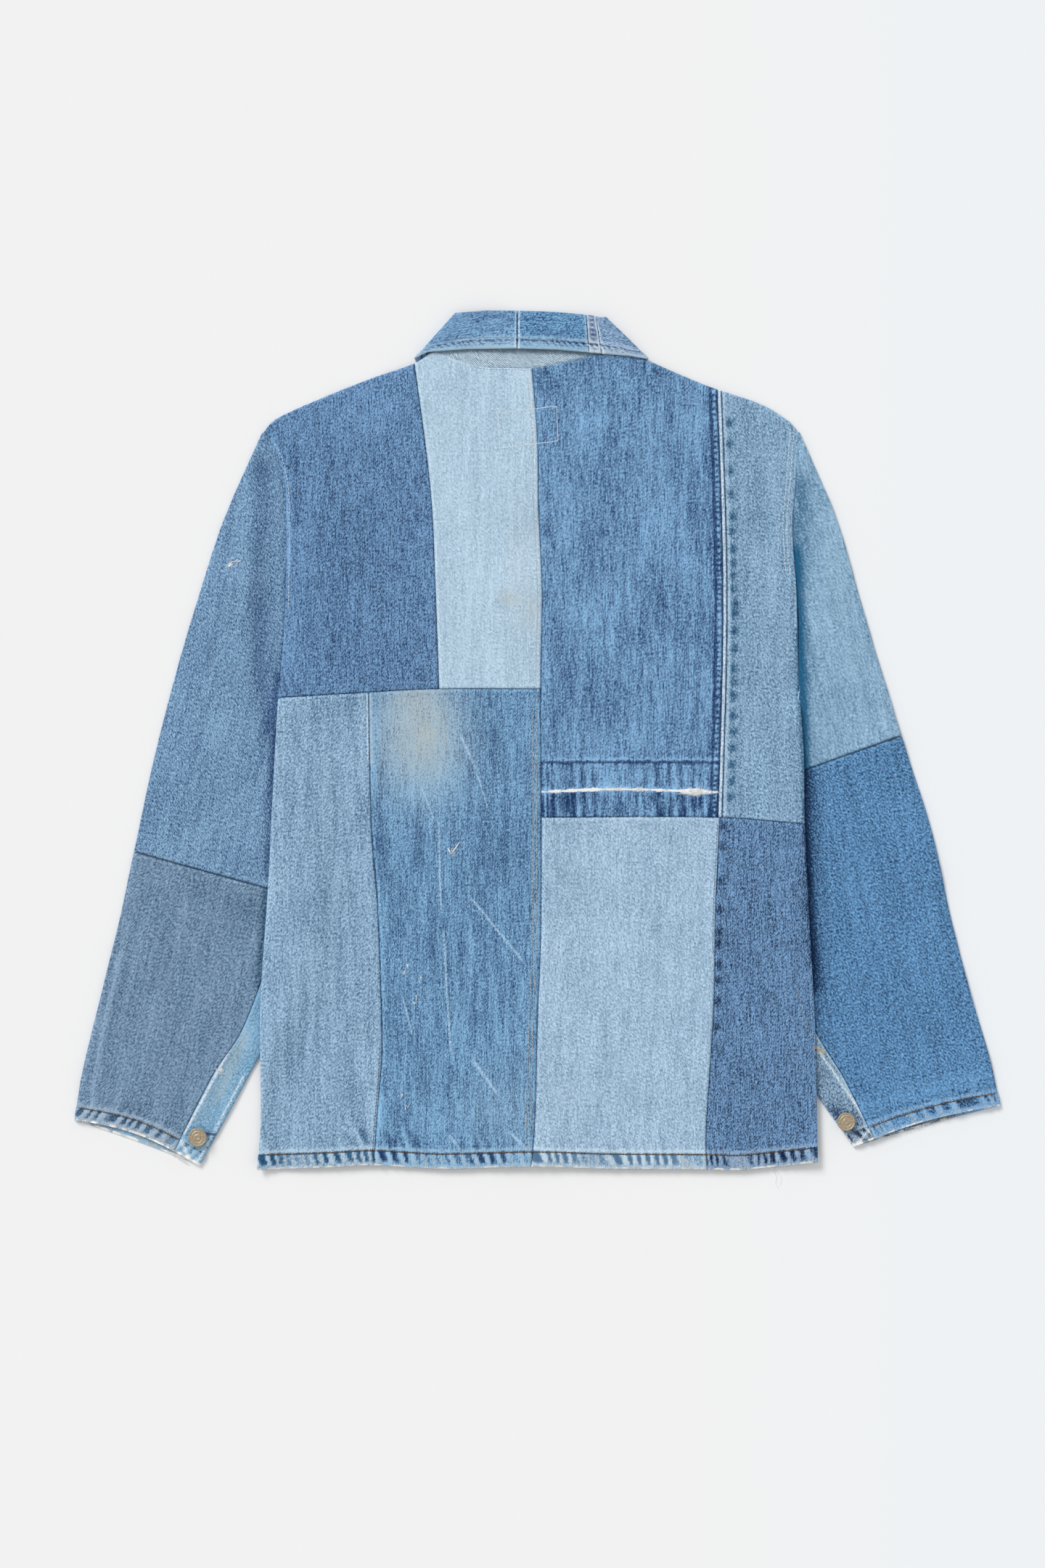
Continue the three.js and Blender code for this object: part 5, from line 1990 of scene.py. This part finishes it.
def even_run(points: Array, pitch: float) -> Array:
    """Points at an even pitch along a run.

    Args:
        points: The run, in plan.
        pitch: The distance between two points.

    Returns:
        The points.
    """
    run = travelled(points)
    at = np.arange(0.0, run[-1], pitch)
    return np.stack([np.interp(at, run, points[:, k]) for k in (0, 1)], 1)


@dataclass(frozen=True)
class StitchRow:
    """A row of stitches.

    Attributes:
        run: Places in plan that it passes through.
        pitch: From one stitch to the next.
        thick: The thread's thickness.
        cover: Share of the pitch that shows as thread.
    """

    run: Array
    pitch: float
    thick: float
    cover: float = 0.78


@dataclass
class Sewing:
    """All the rows sewn with one thread.

    Attributes:
        name: The piece's name.
        thread: The thread.
        rows: The rows.
    """

    name: str
    thread: Thread
    rows: Sequence[StitchRow]
    BLUNT = 0.6
    FLAT = 0.42
    CLEAR = 0.12

    def build(self, surface: Surface) -> bpy.types.Object:
        """Lays every stitch on the cloth.

        Args:
            surface: The cloth's top.

        Returns:
            The rows as one piece.
        """
        bpy.ops.object.select_all(action="DESELECT")
        bpy.ops.mesh.primitive_uv_sphere_add(segments=6, ring_count=5, radius=1.0, calc_uvs=False)
        stitch = bpy.context.active_object
        bpy.ops.object.mode_set(mode="EDIT")
        bpy.ops.mesh.select_all(action="SELECT")
        bpy.ops.transform.rotate(value=math.pi / 2, orient_axis="Y", center_override=(0, 0, 0))
        bpy.ops.object.mode_set(mode="OBJECT")
        unit = places_of(stitch.data).astype(float)
        unit[:, 0] = np.sign(unit[:, 0]) * np.abs(unit[:, 0]) ** self.BLUNT
        faces = [tuple(face.vertices) for face in stitch.data.polygons]
        bpy.data.objects.remove(stitch, do_unlink=True)
        points, polygons, start = [], [], 0
        for row in self.rows:
            places = even_run(np.asarray(row.run, float), row.pitch)
            for (ax, ay), (bx, by) in zip(places, places[1:]):
                a = np.array([ax, ay, surface.height(ax, ay)])
                b = np.array([bx, by, surface.height(bx, by)])
                if min(a[2], b[2]) <= 0.0:
                    continue
                ahead = (b - a) / 2
                side = np.cross((0, 0, 1), ahead)
                side *= row.thick / 2 / np.linalg.norm(side)
                lift = np.array([0, 0, row.thick * self.FLAT])
                middle = (a + b) / 2 + [0, 0, self.CLEAR]
                made = middle + unit[:, :1] * ahead * row.cover + unit[:, 1:2] * side + unit[:, 2:] * lift
                points.append(made)
                polygons.extend([tuple(start + k for k in face) for face in faces])
                start += len(unit)
        return joined(self.name, np.vstack(points), polygons, self.thread)


def joined(name: str, points: Array, faces: Sequence[tuple[int, ...]], thread: Thread) -> bpy.types.Object:
    """One piece from many small shapes.

    Args:
        name: The piece's name.
        points: All places, in millimetres.
        faces: All faces.
        thread: What it is made of.

    Returns:
        The piece, riding on the body.
    """
    mesh = bpy.data.meshes.new(name)
    mesh.from_pydata([tuple(p) for p in points * MM], [], list(faces))
    mesh.update()
    piece = bpy.data.objects.new(name, mesh)
    bpy.context.scene.collection.objects.link(piece)
    bpy.ops.object.select_all(action="DESELECT")
    piece.select_set(True)
    bpy.context.view_layer.objects.active = piece
    bpy.ops.object.shade_smooth()
    mesh.materials.append(thread.material("thread_" + name))
    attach(piece, BODY)
    LOG.info("%s: %d faces", name, len(mesh.polygons))
    return piece


@dataclass(frozen=True)
class Fibre:
    """One loose fibre, as places in plan with heights above the cloth.

    Attributes:
        points: (x, y, height above what is under it).
        thick: Its thickness.
    """

    points: tuple[tuple[float, float, float], ...]
    thick: float = 0.3


@dataclass
class Fray:
    """Loose white fibres at worn edges and snags.

    Attributes:
        thread: What they are made of.
        seed: Which draw.
    """

    thread: Thread
    seed: int = 61
    SIDES = 3

    def along(
        self, run: Array, count: int, reach: tuple[float, float], out: Point, thick: float
    ) -> list[Fibre]:
        """Fibres that stand out from an edge.

        Args:
            run: The edge, in plan.
            count: How many.
            reach: Shortest and longest.
            out: Which way they point.
            thick: Their thickness.

        Returns:
            The fibres.
        """
        draw = np.random.default_rng(self.seed + count)
        places = even_run(np.asarray(run, float), 0.5)
        made = []
        for k in draw.integers(0, len(places), count):
            long = draw.uniform(*reach)
            turn = draw.normal(0, 0.7)
            cos, sin = math.cos(turn), math.sin(turn)
            way = np.array([out[0] * cos - out[1] * sin, out[0] * sin + out[1] * cos])
            curl = draw.normal(0, 0.5) * long
            bend = np.array([-way[1], way[0]]) * curl
            start = places[k] - way * 0.8
            steps = [(t, start + way * long * t + bend * t * t) for t in (0.0, 0.4, 0.75, 1.0)]
            made.append(Fibre(tuple((p[0], p[1], 0.15 + 0.4 * math.sin(3 * t)) for t, p in steps), thick))
        return made

    def tuft(self, centre: Point, spread: Point, count: int, lean: float, long: float) -> list[Fibre]:
        """A snag: short fibres lying close together.

        Args:
            centre: Its middle.
            spread: Its half-size.
            count: How many fibres.
            lean: Which way they lie, in radians.
            long: Their length.

        Returns:
            The fibres.
        """
        draw = np.random.default_rng(self.seed + int(abs(centre[0] * 7 + centre[1])))
        made = []
        for _ in range(count):
            x, y = centre[0] + draw.normal(0, spread[0]), centre[1] + draw.normal(0, spread[1])
            turn = lean + draw.normal(0, 0.35)
            size = long * draw.uniform(0.5, 1.2)
            curl = draw.normal(0, 0.2) * size
            steps = []
            for t in (-0.5, -0.15, 0.2, 0.5):
                px = x + math.cos(turn) * size * t - math.sin(turn) * curl * (0.25 - t * t)
                py = y + math.sin(turn) * size * t + math.cos(turn) * curl * (0.25 - t * t)
                steps.append((px, py, 0.2 + 0.5 * (0.25 - t * t)))
            made.append(Fibre(tuple(steps), 0.55))
        return made

    def fibres(self) -> list[Fibre]:
        """Every loose fibre on the jacket."""
        hem_x = np.linspace(-246, 246, 400)
        hem = np.stack([hem_x, Outline.hem(hem_x) + 0.4], 1)
        right_hem = hem[hem_x > 60]
        torn = hem[(hem_x > -105) & (hem_x < -25)]
        left_top = ((-390, -339.6), (-364, -347.4), (-345, -353.3), (-324, -363.7))
        left_under = ((-360, -350.7), (-332, -365.6), (-311, -379.9))
        right_under = ((364, -338.3), (331, -350.7), (286, -361.7))
        edges = (
            (hem, 620, (0.8, 2.4), (0, -1), 0.34),
            (right_hem, 260, (1.0, 3.4), (0, -1), 0.3),
            (torn, 110, (1.0, 2.8), (0, -1), 0.3),
            (left_top, 90, (0.8, 2.2), (-0.3, -0.95), 0.3),
            (left_under, 120, (0.8, 2.4), (-0.4, -0.9), 0.3),
            (right_under, 60, (0.8, 2.0), (0.2, -0.98), 0.28),
        )
        tear = LetDownHem().tear
        snags = (
            ((-284.5, -294.0), (2.0, 1.2), 16, -0.8, 6.0),
            (tear, (5.0, 1.0), 34, 0.05, 11.0),
            ((tear[0] - 1, tear[1] + 3.2), (5.0, 0.8), 12, 1.2, 3.0),
            ((72, -41.5), (6.0, 0.7), 14, 0.1, 7.0),
            ((93, -42.0), (2.4, 1.2), 10, 0.3, 5.0),
            ((-275, 158.6), (2.0, 0.8), 10, 0.55, 7.0),
            ((-269, 162.6), (1.4, 0.6), 6, 0.4, 5.0),
        )
        flecks = (
            (-116, -199.9), (-119.3, -205.7), (-104.3, -210.9), (-108.2, -228.5), (-109.5, -233.7),
            (-121.2, -316.2), (-117.3, -326),
        )
        made = [fibre for edge in edges for fibre in self.along(*edge)]
        made += [fibre for snag in snags for fibre in self.tuft(*snag)]
        made.append(Fibre(((-80.2, -94.4, 0.4), (-78.6, -97.6, 0.4), (-77.0, -100.2, 0.4)), 1.6))
        made.append(Fibre(((-77.4, -100.4, 0.4), (-74.0, -95.6, 0.5), (-69.6, -89.2, 0.4)), 1.8))
        made += self.tuft((-75.6, -98.0), (1.0, 1.2), 5, 0.9, 5.0)
        for place in flecks:
            made += self.tuft(place, (0.5, 0.9), 5, 1.4, 3.4)
        for place in ((91, -67.5), (97.5, -66.8), (68, -68.2)):
            made += self.tuft(place, (0.6, 0.5), 3, 0.7, 3.6)
        loose = (
            (209, -380.5, 0.4), (212.5, -384.5, 0.3), (214.5, -390, 0.3), (213.5, -395.5, 0.3),
            (216.5, -400, 0.3),
        )
        made.append(Fibre(loose, 0.32))
        made.append(Fibre(((211, -381, 0.4), (215.5, -385, 0.3), (219, -391, 0.3), (217.5, -397, 0.3)), 0.26))
        return made

    def build(self, surface: Surface) -> bpy.types.Object:
        """Makes the fibres as one piece.

        Args:
            surface: The cloth's top.

        Returns:
            The piece.
        """
        points, faces = [], []
        for fibre in self.fibres():
            line = np.array([(x, y, surface.height(x, y) + h) for x, y, h in fibre.points])
            line[:, 2] = np.maximum(line[:, 2], 0.3)
            ways = np.gradient(line, axis=0)
            start, rings = len(points), len(line)
            for k, (place, way) in enumerate(zip(line, ways)):
                side = np.cross(way, (0, 0, 1.0))
                side /= max(np.linalg.norm(side), 1e-6)
                thick = fibre.thick / 2 * (0.45 if k in (0, rings - 1) else 1.0)
                for n in range(self.SIDES):
                    turn = 2 * math.pi * n / self.SIDES
                    points.append(place + thick * (side * math.cos(turn) + np.array([0, 0, math.sin(turn)])))
            for k in range(rings - 1):
                for n in range(self.SIDES):
                    a, b = start + k * self.SIDES + n, start + k * self.SIDES + (n + 1) % self.SIDES
                    faces.append((a, b, b + self.SIDES, a + self.SIDES))
            faces.append(tuple(start + n for n in reversed(range(self.SIDES))))
            faces.append(tuple(start + (rings - 1) * self.SIDES + n for n in range(self.SIDES)))
        return joined("loose_fibres", np.array(points), faces, self.thread)


BROWN = Thread((52, 47, 43), (122, 106, 86))
TAN = Thread((172, 156, 132), (206, 198, 182))
NAVY = Thread((38, 62, 100), (92, 122, 158))
WHITE = Thread((222, 230, 238), (246, 248, 250))
GREY = Thread((118, 116, 116), (160, 162, 164))
YELLOW = Thread((196, 160, 92), (226, 204, 150))
FIBRE = Thread((236, 238, 240), (252, 252, 250))


def beside(curve: Curve, start: float, stop: float, off: float) -> Array:
    """A run beside a seam that is given as x by y, off to its right."""
    y = np.linspace(start, stop, 120)
    return np.stack([curve(y) + off, y], 1)


def below(curve: Curve, start: float, stop: float, off: float) -> Array:
    """A run beside a seam that is given as y by x, off above it."""
    return beside(curve, start, stop, off)[:, ::-1]


def sewing(left: Sleeve, right: Sleeve) -> list[Sewing]:
    """Every row of stitches on the jacket, by thread.

    Args:
        left: The left sleeve.
        right: The right sleeve.

    Returns:
        The sewing.
    """
    o = Outline

    def cuff(sleeve: Sleeve, start: float, stop: float) -> Array:
        """The cuff's stitching across a share of the width."""
        u = np.linspace(start, stop, 60)
        edge = sleeve.plan(np.full_like(u, sleeve.last), u, sleeve.hollow)
        back = sleeve.plan(np.full_like(u, sleeve.last - 0.3), u, sleeve.hollow)
        way = back - edge
        return edge + way / np.linalg.norm(way, axis=1, keepdims=True) * CUFF_STITCH

    def vent(sleeve: Sleeve, off: float) -> Array:
        """A row along the vent's strip, some way in from its edge."""
        s = np.linspace(6.6, 8.7, 40)
        width = np.linalg.norm(sleeve.outer(s) - sleeve.inner(s), axis=-1)
        return sleeve.plan(s, sleeve.strip(s) + off / width, sleeve.hollow)

    old_hem = LetDownHem()
    across = np.linspace(5, 165, 80)
    label = np.array([(-35.4, 294.1), (17.2, 300.6), (18.5, 269.4), (-33.5, 262.9), (-35.4, 294.1)])
    fall_edge = np.array([
        (-86, 360), (-65, 361.5), (-26, 362.2), (0, 359.6), (26, 359), (44, 357.6), (58, 354.5), (84, 350.5),
    ])
    sides = [beside(o.fell, -64, 308, -0.8), beside(o.fell, -64, 308, -6.4)]
    tacks = [np.array([(246.5, -272.8 - k), (258.5, -277.2 - k)]) for k in (0.0, 0.9)]
    tacks.append(np.array([(252.0, -275.5), (255.0, -281.0)]))
    holes = [np.array([(-303.0, -350.0 + k), (-285.5, -352.4 + k)]) for k in (0.0, 1.2)]
    holes += [np.array([(264.0 + k, -329.0), (286.0 + k, -352.0)]) for k in (0.0, 1.3)]
    return [
        Sewing("stitching_brown", BROWN, [
            StitchRow(below(o.hem, -246, 246, 13.4), 2.9, 1.4, 0.92),
            StitchRow(cuff(left, 0.03, 0.79), 2.9, 1.3, 0.92),
            StitchRow(cuff(right, 0.03, 0.85), 2.9, 1.3, 0.92),
            StitchRow(beside(o.light_to_stained, -366, -270, -1.8), 3.0, 0.6),
            StitchRow(cuff(left, 0.83, 0.97), 3.0, 0.6), StitchRow(cuff(right, 0.88, 0.98), 3.0, 0.6),
        ]),
        Sewing("stitching_tan", TAN, [
            StitchRow(beside(o.centre, -366, 44, -4.2), 3.2, 0.6),
            StitchRow(beside(o.centre, -366, 30, -7.6), 3.2, 0.6),
            StitchRow(beside(o.centre, 52, 330, -4.4), 3.2, 0.5),
            StitchRow(vent(left, 5.0), 3.6, 0.5, 0.6), StitchRow(vent(right, 4.0), 3.6, 0.5, 0.6),
        ]),
        Sewing("stitching_navy", NAVY, [
            *(StitchRow(side, 3.0, 0.7) for side in sides),
            StitchRow(np.stack([across, np.full_like(across, old_hem.stitch)], 1), 2.7, 0.9),
            StitchRow(beside(o.pale_to_slate, -190, -72, -2.0), 3.0, 0.5),
        ]),
        Sewing("stitching_white", WHITE, [
            StitchRow(label, 2.2, 0.58, 0.95), StitchRow(beside(o.side_right, 150, 282, -7.5), 3.0, 0.45),
            StitchRow(beside(o.side_right, 150, 282, -4.2), 3.0, 0.45),
            StitchRow(beside(o.side_left, 120, 268, 1.6), 3.0, 0.45),
        ]),
        Sewing("stitching_grey", GREY, [
            StitchRow(fall_edge, 2.8, 0.6), StitchRow(below(o.top, -60, 44, -1.6), 2.8, 0.45),
        ]),
        Sewing("bar_tacks", YELLOW, [StitchRow(run, 1.1, 0.8, 0.95) for run in tacks]),
        Sewing("buttonholes", NAVY, [StitchRow(run, 0.9, 1.0, 1.0) for run in holes]),
    ]


# Studio


@dataclass
class Studio:
    """Floor, light and camera.

    Attributes:
        eye: The point under the camera, in millimetres.
        frame: Height of the picture on the floor, in millimetres.
        lens: Focal length, in millimetres.
    """

    eye: Point = (-13.3, -37.4)
    frame: float = 1404.0
    lens: float = 85.0
    SENSOR = 36.0
    PILE = 4.0
    FLOOR = 9.0
    DROP = 0.0002
    # The floor is painted a little cooler towards the right: painted light falloff.
    PAPER_AND_FALLOFF = ((242, 242, 242), (238, 242, 245))
    SKY = 0.635
    SUN = 1.85
    SUN_WIDTH = math.radians(24)
    SUN_LEAN = math.radians(-38)

    def build(self) -> None:
        """Sets the stage."""
        bpy.ops.object.select_all(action="DESELECT")
        bpy.ops.mesh.primitive_plane_add(size=self.FLOOR, location=(0, 0, -self.DROP))
        floor = bpy.context.active_object
        floor.name = "floor"
        graph = Graph("floor_paper")
        # Painted light falloff: the floor's colour shifts towards the cooler tint on the right.
        right = graph.node("ShaderNodeSeparateXYZ", {}, {0: graph.places()}, 0).step(0.1, 0.46)
        colour = graph.mix(right, *map(linear, self.PAPER_AND_FALLOFF))
        paper = {"Base Color": colour, "Roughness": 0.9, "Specular IOR Level": 0.1}
        floor.data.materials.append(graph.finish(paper))
        scene = bpy.context.scene
        world = bpy.data.worlds.new("studio")
        scene.world = world
        world.use_nodes = True
        sky = world.node_tree.nodes["Background"]
        sky.inputs["Color"].default_value = (1.0, 1.0, 1.0, 1.0)
        sky.inputs["Strength"].default_value = self.SKY
        lamp = bpy.data.lights.new("key", "SUN")
        lamp.energy = self.SUN
        lamp.angle = self.SUN_WIDTH
        key = bpy.data.objects.new("key", lamp)
        key.rotation_euler = (self.SUN_LEAN, self.SUN_LEAN, 0.0)
        scene.collection.objects.link(key)
        lens = bpy.data.cameras.new("camera")
        lens.lens, lens.sensor_width = self.lens, self.SENSOR
        camera = bpy.data.objects.new("camera", lens)
        away = self.frame * self.lens / self.SENSOR
        camera.location = (self.eye[0] * MM, self.eye[1] * MM, (away + self.PILE) * MM)
        scene.collection.objects.link(camera)
        scene.camera = camera
        scene.view_settings.view_transform = "Standard"


def main() -> None:
    """Builds the jacket on its frame."""
    logging.basicConfig(level=logging.INFO, format="%(name)s %(message)s")
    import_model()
    Studio().build()
    denim = Denim((13, 51, 106), (180, 207, 232), 0.48, shift=31.0)
    left_edges = (Outline.side_left, upright(CENTRE_X + Lie.LAP))
    right_edges = (upright(CENTRE_X - Lie.LAP), Outline.side_right)
    fronts = [
        Front("front_left", left_edges, Lie.fronts, denim, Hem(seed=41)),
        Front("front_right", right_edges, Lie.right_front, denim, Hem(seed=43)),
    ]
    left, right = left_sleeve(), right_sleeve()
    sheets = [front.build() for front in fronts]
    sheets += left.build() + right.build() + Back().build() + Collar().build()
    metal = AgedMetal()
    for node in ("cuff_button_left", "cuff_button_right"):
        CuffButton(node, metal).build()
    surface = Surface(sheets)
    for rows in sewing(left, right):
        rows.build(surface)
    Fray(FIBRE).build(surface)


if __name__ == "__main__":
    main()
